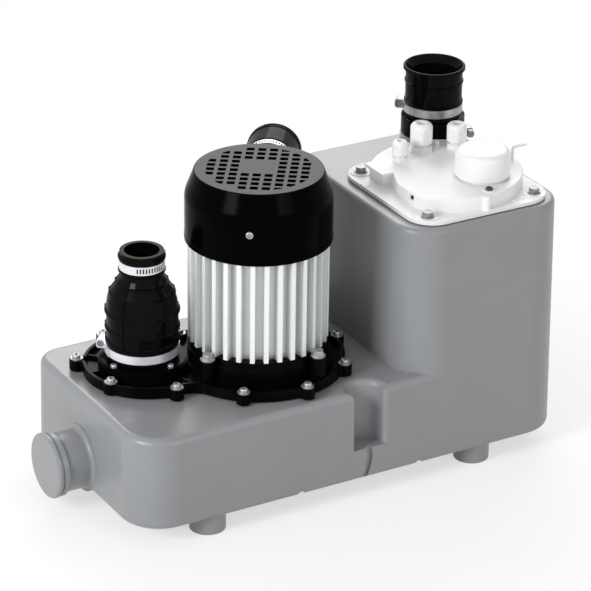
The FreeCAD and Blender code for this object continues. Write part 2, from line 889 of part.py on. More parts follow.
def stub_solid(radius_change):
    """Closed inlet stub on the left wall, turned about its own axis and laid along X."""
    lip = V.stub_lip_radius + radius_change
    neck = V.stub_pipe_radius + radius_change
    end = V.stub_length + radius_change
    root = -V.tank_wall
    points = [(0, root), (neck + V.stub_root, root)]
    for step in range(7):
        angle = math.radians(15.0 * step)
        points.append((neck + V.stub_root * (1 - math.sin(angle)), V.stub_root * (1 - math.cos(angle))))
    points += [(neck, end - 13.0), (lip - 0.5, end - 12.0), (lip - 0.5, end - 7.4), (lip - 1.9, end - 6.7),
               (lip - 1.9, end - 5.1), (lip, end - 4.4), (lip, end - 2.4), (lip - 0.7, end - 0.8),
               (lip - 2.3, end), (0, end)]
    stub = lathe(points)
    stub.rotate(vec(0, 0), vec(0, 1, 0), -90)
    return moved(stub, V.tank_left, V.stub_y, V.stub_z)


def stub_bore():
    inside = V.stub_pipe_radius - V.stub_wall
    bore = Part.makeCylinder(inside, V.stub_length + V.tank_wall, vec(0, 0), vec(-1, 0, 0))
    return moved(bore, V.tank_left + V.tank_wall + 2.0, V.stub_y, V.stub_z)


def tank_screw_bosses(shrink):
    """Screw bosses under the rims of the two openings."""
    top = V.low_top - 1.0
    bosses = [rod(V.boss_radius - shrink, top - 22.0, top, x, y) for x, y in plate_screw_spots()]
    top = V.tower_top - 1.0
    for x, y in control_bolt_spots():
        bosses.append(rod(V.boss_radius - shrink, top - 20.0, top, V.control_x + x, V.control_y + y))
    return bosses


def tank_screw_holes():
    """Holes that the plate screws and the control bolts turn into."""
    holes = []
    for x, y in plate_screw_spots():
        reach = V.screw_length - (V.boss_top - V.low_top)
        holes.append(rod(V.screw_radius + V.push_fit, V.low_top - reach - 1.0, V.low_top + 1.0, x, y))
    for x, y in control_bolt_spots():
        reach = V.control_bolt_length
        holes.append(rod(V.control_bolt_radius + V.push_fit, V.tower_top - reach, V.tower_top + 1.0,
                         V.control_x + x, V.control_y + y))
    return holes


def channel_cutter():
    """Upright half-round channel in the front wall, flared at the top, one edge of its mouth rounded."""
    channel = rod(V.channel_radius, V.channel_floor, V.low_top + 1, V.channel_x, V.channel_y)
    flare = V.channel_flare
    top = V.low_top
    rim = [(0, top - flare), (V.channel_radius, top - flare)]
    for step in range(1, 7):
        angle = math.radians(90.0 * step / 6)
        rim.append((V.channel_radius + flare * (1 - math.cos(angle)), top - flare * (1 - math.sin(angle))))
    rim += [(V.channel_radius + flare, top + 1), (0, top + 1)]
    return channel.fuse([moved(lathe(rim), V.channel_x, V.channel_y), channel_mouth()])


def channel_mouth():
    """Cutter that rounds the channel's right edge where it meets the leaning front wall."""
    lean = math.tan(math.radians(V.draft_angle))
    wires = []
    for z in (V.channel_floor, V.low_top + 1):
        wall = lean * (z - V.foot_height)
        edge = V.channel_edge
        centre_y = wall + edge
        reach = math.sqrt((V.channel_radius + edge) ** 2 - (centre_y - V.channel_y) ** 2)
        centre_x = V.channel_x + reach
        heading = math.atan2(centre_y - V.channel_y, reach)
        inner = vec(centre_x - edge * math.cos(heading), centre_y - edge * math.sin(heading), z)
        outer = vec(centre_x, wall, z)
        turn = (heading + math.pi + 1.5 * math.pi) / 2
        middle = vec(centre_x + edge * math.cos(turn), centre_y + edge * math.sin(turn), z)
        front = vec(centre_x, wall - 2.0, z)
        back = vec(V.channel_x, wall - 2.0, z)
        deep = vec(V.channel_x, inner.y, z)
        wires.append(Part.Wire([Part.Arc(inner, middle, outer).toShape(), Part.makeLine(outer, front),
                                Part.makeLine(front, back), Part.makeLine(back, deep),
                                Part.makeLine(deep, inner)]))
    return Part.makeLoft(wires, True, True)


def groove_cutter():
    """Curved groove that runs from the channel's floor down the front wall to the underside."""
    points = [vec(V.channel_x + x, 0, V.channel_floor + z) for x, z in FRONT_GROOVE]
    curve = Part.BSplineCurve()
    curve.interpolate(points)
    half = V.groove_width / 2
    sides = []
    for side in (-1, 1):
        sides.append([vec(point.x + side * half, -1.0, point.z) for point in curve.discretize(9)])
    left = Part.BSplineCurve()
    left.interpolate(sides[0])
    right = Part.BSplineCurve()
    right.interpolate(sides[1])
    ends = [Part.makeLine(sides[0][-1], sides[1][-1]), Part.makeLine(sides[1][0], sides[0][0])]
    wire = Part.Wire(Part.__sortEdges__([left.toShape(), right.toShape()] + ends))
    return Part.Face(wire).extrude(vec(0, V.groove_depth + 1.0, 0))


def front_notches(grow):
    """Half-round notches at the foot of the front wall, grown by an amount on all sides."""
    return [Part.makeCylinder(V.notch_radius + grow, V.notch_depth + grow + 1.0,
                              vec(x, -1.0, V.foot_height), vec(0, 1, 0))
            for x in (V.notch_left, V.notch_right)]


def make_tank():
    outer = tank_blocks(0.0)
    inner = tank_blocks(V.tank_wall)
    channel_outer = rod(V.channel_radius + V.tank_wall, V.channel_floor - V.tank_wall, V.low_top + 1,
                        V.channel_x, V.channel_y)
    inner = inner.cut([channel_outer] + tank_screw_bosses(0.0) + front_notches(V.notch_wall))
    feet = []
    for x in (V.foot_left, V.tank_right - V.foot_right):
        for y in (V.foot_inset, V.tank_depth - V.foot_inset):
            foot = rod(V.foot_radius, 0.0, V.foot_height + V.tank_wall, x, y)
            feet.append(soften(foot, 1.5, lambda e: is_level_at(e, 0.0)))
    spigot = rod(V.inlet_spigot, V.tower_top - V.tank_wall, V.inlet_spigot_top, V.inlet_x, V.inlet_y)
    shell = outer.fuse(feet + [spigot, stub_solid(0.0)]).cut(inner)
    openings = [
        channel_cutter(),
        groove_cutter(),
        stub_bore(),
        plate_face(V.low_top - 40.0, V.opening_ledge).extrude(vec(0, 0, 41.0)).common(
            slab(V.tank_left, V.tank_right, 0, V.tank_depth, V.low_top - V.tank_wall - 1, V.low_top + 1)),
        rod(V.control_hole, V.tower_top - V.tank_wall - 1, V.tower_top + 1, V.control_x, V.control_y),
        rod(V.inlet_spigot - V.inlet_spigot_wall, V.tower_top - 30.0, V.inlet_spigot_top + 1,
            V.inlet_x, V.inlet_y),
        rod(V.riser_radius + V.hole_clearance, V.low_top - V.tank_wall - 1, V.low_top + 1,
            V.riser_x, V.riser_y),
    ]
    shell = shell.cut(openings + front_notches(0.0) + tank_screw_holes())
    return place(formed("Tank", shell.removeSplitter()), "tank")


# Pump plate and what fastens it


def make_plate_gasket():
    sheet = plate_face(V.low_top, V.plate_rim).extrude(vec(0, 0, V.gasket_thickness))
    hole = plate_face(V.low_top - 1, V.opening_ledge).extrude(vec(0, 0, V.gasket_thickness + 2))
    holes = [rod(V.screw_radius + V.hole_clearance, V.low_top - 1, V.boss_top, x, y)
             for x, y in plate_screw_spots()]
    return place(formed("PlateGasket", sheet.cut([hole] + holes)), "plate_gasket")


def make_pump_plate():
    bottom = V.plate_bottom
    floor = bottom + V.plate_thickness
    valve_x, valve_y = V.valve_x, V.valve_y
    block = plate_face(bottom).extrude(vec(0, 0, V.boss_top - bottom))
    pocket = plate_face(floor, V.plate_rim).extrude(vec(0, 0, V.boss_top - floor + 1))
    kept = [rod(V.boss_radius, bottom, V.boss_top, x, y) for x, y in plate_screw_spots()]
    kept.append(rod(V.base_radius + 4.0, bottom, V.boss_top, V.motor_x, V.motor_y))
    for i in range(4):
        angle = math.radians(V.base_bolt_angle + 90.0 * i)
        x = V.motor_x + V.base_bolt_circle * math.cos(angle)
        y = V.motor_y + V.base_bolt_circle * math.sin(angle)
        kept.append(rod(V.base_lug_radius + 1.5, bottom, V.boss_top, x, y))
    kept.append(rod(V.collar_radius, bottom, V.boss_top, valve_x, valve_y))
    for i in range(9):
        rib = slab(0, V.screw_pitch_radius * 2, -1.0, 1.0, bottom, V.boss_top - 2.0)
        kept.append(moved(spun(rib, 40.0 * i + 12.0), valve_x, valve_y))
    outline_block = plate_face(bottom, 1.0).extrude(vec(0, 0, V.boss_top - bottom))
    web = kept[0].fuse(kept[1:]).common(outline_block)
    plate = block.cut(pocket).fuse(web)
    collar = ring(V.collar_radius, V.valve_flange_radius + 0.3, V.boss_top - 1, V.collar_top,
                  valve_x, valve_y)
    plate = plate.fuse(collar)
    holes = [rod(V.screw_radius + V.hole_clearance, bottom - 1, V.boss_top + 1, x, y)
             for x, y in plate_screw_spots()]
    holes.append(rod(V.seal_radius + V.push_fit, bottom - 1, V.boss_top + 1, V.motor_x, V.motor_y))
    holes.append(rod(V.duct_radius + V.duct_wall + V.push_fit, bottom - 1, V.boss_top + 1,
                     valve_x, valve_y))
    for i in range(4):
        angle = math.radians(V.base_bolt_angle + 90.0 * i)
        x = V.motor_x + V.base_bolt_circle * math.cos(angle)
        y = V.motor_y + V.base_bolt_circle * math.sin(angle)
        depth = V.base_bolt_length - (V.base_lug_top - V.boss_top)
        holes.append(rod(V.base_bolt_radius + V.push_fit, V.boss_top - depth - 1, V.boss_top + 1, x, y))
    for x, y in valve_screw_spots():
        holes.append(rod(V.valve_screw_radius + V.push_fit, bottom + 1.0, V.boss_top + 1, x, y))
    for x, y in volute_post_spots():
        holes.append(rod(V.volute_screw_radius + V.push_fit, bottom - 1, bottom + 8.0, x, y))
    return place(formed("PumpPlate", plate.cut(holes).removeSplitter()), "pump_plate")


def socket_screw(radius, length, head_radius, head_height, seat):
    """Domed screw with a hexagon socket, its head on the seat height."""
    head = rod(head_radius, seat, seat + head_height)
    head = soften(head, head_height * 0.45, lambda e: is_level_at(e, seat + head_height))
    socket = hexagon(head_radius * 0.5, seat + head_height * 0.4, seat + head_height + 1)
    return head.fuse(rod(radius, seat - length, seat)).cut(socket)


def hex_bolt(radius, length, across, head_height, seat, flange=0.0):
    """Hexagon bolt, with a flange under its head where one is given."""
    head = hexagon(across, seat, seat + head_height)
    crown = lathe([(0, seat - 1), (across * 1.3, seat - 1), (across * 0.86, seat + head_height),
                   (0, seat + head_height)])
    pieces = [rod(radius, seat - length, seat)]
    if flange > 0:
        pieces.append(rod(flange, seat, seat + head_height * 0.25))
    return head.common(crown).fuse(pieces)


def group(name, shape, spots):
    """Separate copies of one fastener at (X, Y) spots."""
    return formed(name, Part.makeCompound([moved(shape, x, y) for x, y in spots]))


def make_plate_screws():
    seat = V.boss_top + V.washer_thickness
    screw = socket_screw(V.screw_radius, V.screw_length, V.screw_head_radius, V.screw_head_height, seat)
    place(group("PlateScrews", screw, plate_screw_spots()), "plate_screws")


# Motor


def make_motor_base():
    lug_bottom = S.boss_top
    floor = S.boss_top + S.base_floor
    hub = S.bearing_radius + 5
    pocket = S.bearing_radius + S.push_fit
    seat = S.base_top - S.bearing_width
    bore = S.seal_radius + 1
    points = [(bore, lug_bottom), (S.base_radius, lug_bottom), (S.base_radius, S.base_top - 9),
              (S.base_radius - 1.2, S.base_top - 8), (S.base_radius - 1.2, S.base_top),
              (S.housing_bore, S.base_top), (S.housing_bore, floor), (hub, floor), (hub, S.base_top),
              (pocket, S.base_top), (pocket, seat), (bore, seat)]
    bell = turned("MotorBell", points)
    lugs = []
    holes = []
    for i in range(4):
        angle = S.base_bolt_angle + 90 * i
        x = S.base_bolt_circle * cosine(angle)
        y = S.base_bolt_circle * sine(angle)
        lugs.append(cylinder("BaseLug%d" % i, S.base_lug_radius, S.base_lug_top - S.boss_top, x, y,
                             S.boss_top))
        holes.append(cylinder("BaseHole%d" % i, S.base_bolt_radius + S.hole_clearance,
                              S.base_top - S.boss_top + 2, x, y, S.boss_top - 1))
        holes.append(cylinder("BaseSeat%d" % i, S.base_lug_radius, 20, x, y, S.base_lug_top))
    base = cut("MotorBase", fuse("BellAndLugs", bell, *lugs), *holes)
    return place(base, "motor_base", S.motor_x, S.motor_y)


def base_bolt_spots():
    spots = []
    for i in range(4):
        angle = math.radians(V.base_bolt_angle + 90.0 * i)
        x = V.motor_x + V.base_bolt_circle * math.cos(angle)
        y = V.motor_y + V.base_bolt_circle * math.sin(angle)
        spots.append((x, y))
    return spots


def make_base_bolts():
    seat = V.base_lug_top + V.washer_thickness
    bolt = hex_bolt(V.base_bolt_radius, V.base_bolt_length, V.base_bolt_hex, V.base_bolt_head, seat)
    place(group("MotorBaseBolts", bolt, base_bolt_spots()), "motor_base_bolts")


def make_washers():
    """Washers under the plate screws, and wider ones under the bolts of the motor base."""
    hole = V.screw_radius + V.hole_clearance
    small = ring(V.washer_radius, hole, 0, V.washer_thickness)
    wide = ring(V.base_washer_radius, hole, 0, V.washer_thickness)
    washers = [moved(small, x, y, V.boss_top) for x, y in plate_screw_spots()]
    washers += [moved(wide, x, y, V.base_lug_top) for x, y in base_bolt_spots()]
    place(formed("Washers", Part.makeCompound(washers)), "washers")


def make_motor_housing():
    """Extruded tube with upright cooling fins."""
    height = S.housing_top - S.base_top
    body, tube = padded_rings("MotorHousing", [S.housing_root, S.housing_bore], height)
    half = S.fin_width / 2
    inner = S.housing_root - 1
    fin_points = [(inner, -half), (S.fin_tip, half * -0.9), (S.fin_tip, half * 0.9), (inner, half)]
    sketch = outline(body, "XY_Plane", "FinProfile", fin_points)
    fin = body.newObject("PartDesign::Pad", "Fin")
    fin.Profile = sketch
    bind(fin, "Length", height)
    DOC.recompute()
    fins = body.newObject("PartDesign::PolarPattern", "Fins")
    fins.Originals = [fin]
    fins.Axis = (sketch, ["N_Axis"])
    fins.Angle = 360
    bind(fins, "Occurrences", S.fin_count)
    body.Tip = fins
    return place(body, "motor_housing", S.motor_x, S.motor_y, S.base_top)


def make_stator():
    """Core with slots and the windings that fill them, each turned about the shaft."""
    core, pad = padded_rings("StatorCore", [S.housing_bore - S.push_fit, S.stator_inner],
                             S.stator_top - S.stator_bottom)
    slot_x = S.slot_circle
    height = S.stator_top - S.stator_bottom
    tools = []
    wires = []
    for i in range(int(V.slot_count)):
        angle = as_size(360 * i) / S.slot_count
        x = slot_x * cosine(angle)
        y = slot_x * sine(angle)
        tools.append(cylinder("Slot%d" % i, S.slot_radius, height + 2, x, y, -1))
        wires.append(cylinder("Winding%d" % i, S.slot_radius - S.push_fit, height + 4, x, y,
                              S.stator_bottom - 2))
    place(cut("SlottedCore", core, *tools), "stator_core", S.motor_x, S.motor_y, S.stator_bottom)
    coils = []
    for number, low in enumerate((S.stator_bottom - S.coil_height - 1, S.stator_top + 1)):
        points = [(S.coil_inner, low), (S.coil_outer, low), (S.coil_outer, low + S.coil_height),
                  (S.coil_inner, low + S.coil_height)]
        coils.append(turned("EndCoil%d" % number, points, [(points, 3.0)]))
    place(fuse("StatorWindings", *(coils + wires)), "stator_windings", S.motor_x, S.motor_y)


def make_rotor():
    core, pad = padded_rings("RotorCore", [S.stator_inner - S.air_gap, S.rotor_seat_radius + S.push_fit],
                             S.stator_top - S.stator_bottom)
    place(core, "rotor_core", S.motor_x, S.motor_y, S.stator_bottom)
    seat_bottom = S.base_top + 2
    seat_top = S.housing_top - S.shield_spigot - S.bearing_width - 2
    thread = S.shaft_radius - 3
    impeller_floor = S.volute_floor + S.impeller_gap
    points = [(0, S.shaft_bottom), (thread, S.shaft_bottom), (thread, impeller_floor),
              (S.shaft_radius, impeller_floor), (S.shaft_radius, seat_bottom),
              (S.rotor_seat_radius, seat_bottom), (S.rotor_seat_radius, seat_top),
              (S.shaft_radius, seat_top), (S.shaft_radius, S.fan_bottom - 1),
              (S.shaft_radius - 1, S.fan_bottom - 1), (S.shaft_radius - 1, S.shaft_top),
              (0, S.shaft_top)]
    place(turned("MotorShaft", points), "motor_shaft", S.motor_x, S.motor_y)


def make_bearings():
    bore = S.shaft_radius + S.running_fit
    outer = S.bearing_radius
    lower = S.base_top - S.bearing_width
    upper = S.housing_top - S.shield_spigot - S.bearing_width
    for label, low in (("lower_bearing", lower), ("upper_bearing", upper)):
        points = [(bore, 0), (outer, 0), (outer, S.bearing_width), (outer - 3, S.bearing_width),
                  (outer - 3.5, S.bearing_width - 0.8), (bore + 3, S.bearing_width - 0.8),
                  (bore + 2.5, S.bearing_width), (bore, S.bearing_width)]
        place(turned(label.title().replace("_", ""), points), label, S.motor_x, S.motor_y, low)


def cover_screw_turn(i):
    """Angle of one of the fan cover's screws round the motor."""
    return S.cover_screw_angle + as_size(360 * i) / S.cover_screw_count


def make_end_shield():
    """Upper end shield with the bearing seat and the posts that carry the fan cover."""
    flange_top = S.housing_top + S.shield_flange
    spigot = S.housing_bore - S.push_fit
    hub_bottom = S.housing_top - S.shield_spigot - S.bearing_width
    pocket = S.bearing_radius + S.push_fit
    seat = hub_bottom + S.bearing_width
    bore = S.shaft_radius + 3
    points = [(bore, seat), (pocket, seat), (pocket, hub_bottom), (S.shield_hub_radius, hub_bottom),
              (S.shield_hub_radius, S.housing_top - S.shield_spigot),
              (spigot, S.housing_top - S.shield_spigot), (spigot, S.housing_top),
              (S.shield_radius, S.housing_top), (S.shield_radius, flange_top),
              (bore, flange_top)]
    disc = turned("ShieldDisc", points)
    posts = []
    for i in range(int(V.cover_screw_count)):
        angle = cover_screw_turn(i)
        x = S.post_reach * cosine(angle)
        y = S.post_reach * sine(angle)
        height = S.cover_screw_height + 6 - S.housing_top
        posts.append(cylinder("ShieldPost%d" % i, S.post_radius, height, x, y, S.housing_top))
    tools = []
    for i in range(int(V.cover_screw_count)):
        hole = DOC.addObject("Part::Cylinder", "PostHole%d" % i)
        bind(hole, "Radius", S.cover_screw_radius + S.push_fit)
        bind(hole, "Height", S.cover_screw_length)
        angle = cover_screw_turn(i)
        outward = vec(math.cos(math.radians(angle.value)), math.sin(math.radians(angle.value)))
        hole.Placement = FreeCAD.Placement(vec(0, 0), FreeCAD.Rotation(UP, outward))
        start = S.cover_radius - S.cover_screw_length
        shift(hole, start * cosine(angle), start * sine(angle), S.cover_screw_height)
        tools.append(hole)
    shield = cut("UpperEndShield", fuse("ShieldAndPosts", disc, *posts), *tools)
    return place(shield, "upper_end_shield", S.motor_x, S.motor_y)


def make_shaft_seal():
    bore = S.shaft_radius + S.running_fit
    top = S.boss_top - 1
    low = top - S.seal_height
    points = [(bore, low), (S.seal_radius - 3, low), (S.seal_radius - 3, low + 3),
              (S.seal_radius, low + 3), (S.seal_radius, top), (bore, top)]
    return place(turned("ShaftSeal", points), "shaft_seal", S.motor_x, S.motor_y)


def make_cooling_fan():
    low = V.fan_bottom
    bore = V.shaft_radius - 1 + V.push_fit
    hub = ring(V.fan_hub_radius, bore, low, low + V.fan_height)
    plate = ring(V.fan_radius, bore, low, low + V.fan_plate)
    blade = slab(V.fan_hub_radius - 1, V.fan_radius - 1, -V.fan_blade / 2, V.fan_blade / 2, low,
                 low + V.fan_height)
    blades = round_about(blade, int(V.fan_blade_count))
    fan = plate.fuse([hub] + blades).removeSplitter()
    return place(formed("CoolingFan", fan), "cooling_fan", S.motor_x, S.motor_y)


# Fan cover


def grille_spots():
    """Centres of the grille's holes in its own turned frame, round the closed middle."""
    spots = []
    for column in range(-4, 5):
        for row in range(-5, 5):
            x = column * V.grille_pitch - 1.0
            y = (row + 0.5) * V.grille_row_pitch
            inside = math.hypot(x, y) < V.grille_radius
            closed_middle = abs(column) <= 1 and -1 <= row <= 1
            if inside and not closed_middle:
                spots.append((x, y))
    return spots


def grille_hole(bottom, top):
    half = V.grille_hole_width / 2
    length = V.grille_hole_length / 2
    radius = 0.7
    wire = rounded_wire(-length, length, -half, half, bottom, radius, radius)
    return Part.Face(wire).extrude(vec(0, 0, top - bottom))


def make_fan_cover():
    wall = S.cover_wall
    rim_top = S.cover_bottom + S.cover_rim_height
    outer = [(S.cover_rim_radius, S.cover_bottom), (S.cover_rim_radius, rim_top),
             (S.cover_radius, rim_top + 1), (S.cover_radius, S.cover_shoulder),
             (S.cover_disc_radius, S.cover_top)]
    inner = [(S.cover_disc_radius - wall, S.cover_top - wall),
             (S.cover_radius - wall, S.cover_shoulder - wall), (S.cover_radius - wall, S.cover_bottom)]
    points = outer + [(0, S.cover_top), (0, S.cover_top - wall)] + inner
    roundings = [
        ([(S.cover_radius, S.cover_shoulder)], S.cover_shoulder_rounding),
        ([(S.cover_disc_radius, S.cover_top)], S.cover_edge_rounding),
        ([(S.cover_radius - wall, S.cover_shoulder - wall)], S.cover_shoulder_rounding - wall),
    ]
    shell = turned("CoverShell", points, roundings)
    hole = grille_hole(V.cover_top - 10, V.cover_top + 1)
    field = rod(V.grille_radius, V.cover_top - 10, V.cover_top + 1)
    holes = [moved(hole, x, y).common(field) for x, y in grille_spots()]
    grille = formed("GrilleHoles", Part.makeCompound([spun(h, V.grille_angle) for h in holes]))
    tools = []
    for i in range(int(V.cover_screw_count)):
        tool = DOC.addObject("Part::Cylinder", "CoverHole%d" % i)
        bind(tool, "Radius", S.cover_screw_radius + S.hole_clearance)
        bind(tool, "Height", 12)
        angle = cover_screw_turn(i)
        outward = vec(math.cos(math.radians(angle.value)), math.sin(math.radians(angle.value)))
        tool.Placement = FreeCAD.Placement(vec(0, 0), FreeCAD.Rotation(UP, outward))
        start = S.cover_radius - 6
        shift(tool, start * cosine(angle), start * sine(angle), S.cover_screw_height)
        tools.append(tool)
    drilled = cut("DrilledCover", shell, *tools)
    return place(cut("FanCover", drilled, grille), "fan_cover", S.motor_x, S.motor_y)


def cross_screw(radius, length, head_radius, head_height):
    """Pan-head screw with a cross recess, its seat at height 0."""
    head = rod(head_radius, 0, head_height)
    head = soften(head, head_height * 0.6, lambda e: is_level_at(e, head_height))
    arm = head_radius * 0.62
    slot = slab(-arm, arm, -0.5, 0.5, head_height * 0.45, head_height + 1)
    recess = slot.fuse(spun(slot, 90))
    return head.fuse(rod(radius, -length, 0)).cut(recess)


def make_cross_head_screws():
    """Four screws round the fan cover and the one that holds the control box."""
    screw = cross_screw(V.cover_screw_radius, V.cover_screw_length - 2, V.cover_screw_head, 2.4)
    box_screw = moved(screw, V.control_x + V.case_screw_x, V.control_y + V.case_screw_y,
                      V.box_top + V.case_boss_rise)
    screw.rotate(vec(0, 0), vec(0, 1, 0), 90)
    screw = moved(screw, V.cover_radius + 0.15, 0, V.cover_screw_height)
    screws = round_about(screw, int(V.cover_screw_count), V.cover_screw_angle)
    screws = [moved(one, V.motor_x, V.motor_y) for one in screws]
    place(formed("CrossHeadScrews", Part.makeCompound(screws + [box_screw])), "cross_head_screws")


# Wet end: volute, impeller, strainer and the duct to the valve


def volute_post_spots():
    spots = []
    for angle in (35.0, 125.0, 215.0, 305.0):
        x = V.motor_x + V.volute_post_circle * math.cos(math.radians(angle))
        y = V.motor_y + V.volute_post_circle * math.sin(math.radians(angle))
        spots.append((x, y))
    return spots


def spiral_face(start_radius, growth, height):
    """Flat spiral of four quarter arcs whose radii grow step by step, closed by its tongue."""
    edges = []
    centre = vec(0, 0, height)
    radius = start_radius
    heading = 90.0
    first = None
    for i in range(4):
        begin = centre + vec(radius * math.cos(math.radians(heading)),
                             radius * math.sin(math.radians(heading)))
        middle_angle = math.radians(heading + 45.0)
        end_angle = math.radians(heading + 90.0)
        middle = centre + vec(radius * math.cos(middle_angle), radius * math.sin(middle_angle))
        end = centre + vec(radius * math.cos(end_angle), radius * math.sin(end_angle))
        edges.append(Part.Arc(begin, middle, end).toShape())
        if first is None:
            first = begin
        heading += 90.0
        centre = centre - vec(growth * math.cos(end_angle), growth * math.sin(end_angle))
        radius += growth
        last = end
    edges.append(Part.makeLine(last, first))
    return Part.Face(Part.Wire(edges))


def duct_points():
    """Centre line of the discharge duct: level from the volute, then up under the valve."""
    side = V.volute_radius + 4 * V.volute_growth - V.duct_radius - V.duct_inset
    start = (V.motor_x - 6.0, V.motor_y + side, V.duct_z)
    corner = (V.valve_x, V.valve_y, V.duct_z)
    end = (V.valve_x, V.valve_y, V.boss_top)
    return [start, corner, end]


def make_volute():
    wall = V.volute_wall
    growth = V.volute_growth
    top = V.plate_bottom
    chamber = spiral_face(V.volute_radius, growth, V.volute_floor).extrude(
        vec(0, 0, V.volute_roof - V.volute_floor))
    casing = spiral_face(V.volute_radius + wall, growth, V.volute_floor).extrude(
        vec(0, 0, V.volute_roof + wall - V.volute_floor))
    neck = rod(V.seal_radius + 8.0, V.volute_roof, top)
    bore = rod(V.seal_radius + 3.0, V.volute_roof - 1, top + 1)
    disc_radius = V.volute_post_circle + V.volute_post_radius * 0.6
    disc = rod(disc_radius, V.volute_roof, V.volute_roof + wall)
    casing = casing.fuse([neck, disc])
    casing = moved(casing, V.motor_x, V.motor_y)
    chamber = moved(chamber, V.motor_x, V.motor_y)
    bore = moved(bore, V.motor_x, V.motor_y)
    posts = [rod(V.volute_post_radius, V.volute_floor, top, x, y) for x, y in volute_post_spots()]
    bores = [rod(V.volute_screw_radius + V.hole_clearance, V.volute_floor - 1, top + 1, x, y)
             for x, y in volute_post_spots()]
    outlet = pipe(duct_points(), V.duct_radius, V.duct_bend)
    socket = pipe(duct_points()[:1] + [split_point()], V.duct_radius + V.duct_wall, V.duct_bend)
    casing = casing.fuse(posts + [socket]).cut([chamber, bore, outlet] + bores)
    return place(formed("VoluteCasing", casing.removeSplitter()), "volute_casing")


def split_point():
    """Where the volute's outlet ends and the duct begins."""
    start, corner = vec(*duct_points()[0]), vec(*duct_points()[1])
    spot = start + (corner - start) * 0.55
    return (spot.x, spot.y, spot.z)


def make_discharge_duct():
    points = [split_point()] + duct_points()[1:]
    duct = pipe(points, V.duct_radius + V.duct_wall, V.duct_bend)
    bore = pipe(points, V.duct_radius, V.duct_bend)
    return place(formed("DischargeDuct", duct.cut(bore)), "discharge_duct")


def make_suction_cover():
    outer = V.volute_radius + V.volute_wall + 4 * V.volute_growth
    low = V.volute_floor - V.suction_cover_thickness
    cover = ring(outer, V.suction_eye, low, V.volute_floor, V.motor_x, V.motor_y)
    lugs = [rod(V.volute_post_radius, low, V.volute_floor, x, y) for x, y in volute_post_spots()]
    holes = [rod(V.volute_screw_radius + V.hole_clearance, low - 1, V.volute_floor + 1, x, y)
             for x, y in volute_post_spots()]
    return place(formed("SuctionCover", cover.fuse(lugs).cut(holes).removeSplitter()), "suction_cover")


def make_strainer():
    top = V.volute_floor - V.suction_cover_thickness
    outer = V.strainer_radius
    inner = outer - V.strainer_bar
    rings = [ring(outer, inner, top - 5.0, top), rod(outer, V.strainer_bottom, V.strainer_bottom + 3.0)]
    bar = slab(inner, outer, -V.strainer_bar / 2, V.strainer_bar / 2, V.strainer_bottom + 1.0, top - 2.0)
    bars = round_about(bar, int(V.strainer_bars))
    strainer = rings[0].fuse(rings[1:] + bars).removeSplitter()
    return place(formed("SuctionStrainer", strainer), "suction_strainer", S.motor_x, S.motor_y)


def make_volute_screws():
    seat = V.volute_floor - V.suction_cover_thickness
    length = V.plate_bottom + 7.0 - seat
    screw = socket_screw(V.volute_screw_radius, length, V.volute_screw_radius * 1.8, 3.6, 0)
    screw.rotate(vec(0, 0), vec(1, 0, 0), 180)
    return place(group("VoluteScrews", moved(screw, z=seat), volute_post_spots()), "volute_screws")


def make_impeller():
    low = V.volute_floor + V.impeller_gap
    plate_top = V.volute_roof - V.impeller_gap * 2
    plate_low = plate_top - V.impeller_plate
    bore = V.shaft_radius + V.push_fit
    plate = ring(V.impeller_radius, bore, plate_low, plate_top)
    hub = ring(V.impeller_hub_radius, bore, low, V.volute_roof - V.impeller_gap)
    half = V.impeller_blade / 2
    blade = slab(V.impeller_hub_radius - 1, V.impeller_radius - 1, -half, half, low, plate_low)
    blade = moved(spun(blade, 14), 0, -4)
    blades = [b.common(rod(V.impeller_radius, low, plate_top)) for b in
              round_about(blade, int(V.impeller_blades))]
    impeller = plate.fuse([hub] + blades).cut(rod(bore, low - 1, V.volute_roof + 1)).removeSplitter()
    return place(formed("Impeller", impeller), "impeller", S.motor_x, S.motor_y)


def make_impeller_nut():
    top = V.volute_floor + V.impeller_gap
    bore = V.shaft_radius - 3.0 + V.push_fit
    nut = hexagon(V.nut_hex, top - V.nut_height, top).cut(rod(bore, top - V.nut_height - 1, top + 1))
    return place(formed("ImpellerNut", nut), "impeller_nut", S.motor_x, S.motor_y)


# Valve and discharge cone


def valve_screw_spots():
    spots = []
    for i in range(4):
        angle = math.radians(V.valve_screw_angle + 90.0 * i)
        x = V.valve_x + V.valve_screw_circle * math.cos(angle)
        y = V.valve_y + V.valve_screw_circle * math.sin(angle)
        spots.append((x, y))
    return spots


def hinge_height():
    return V.seat_top + V.flap_thickness / 2 + V.knuckle_radius * 0.5


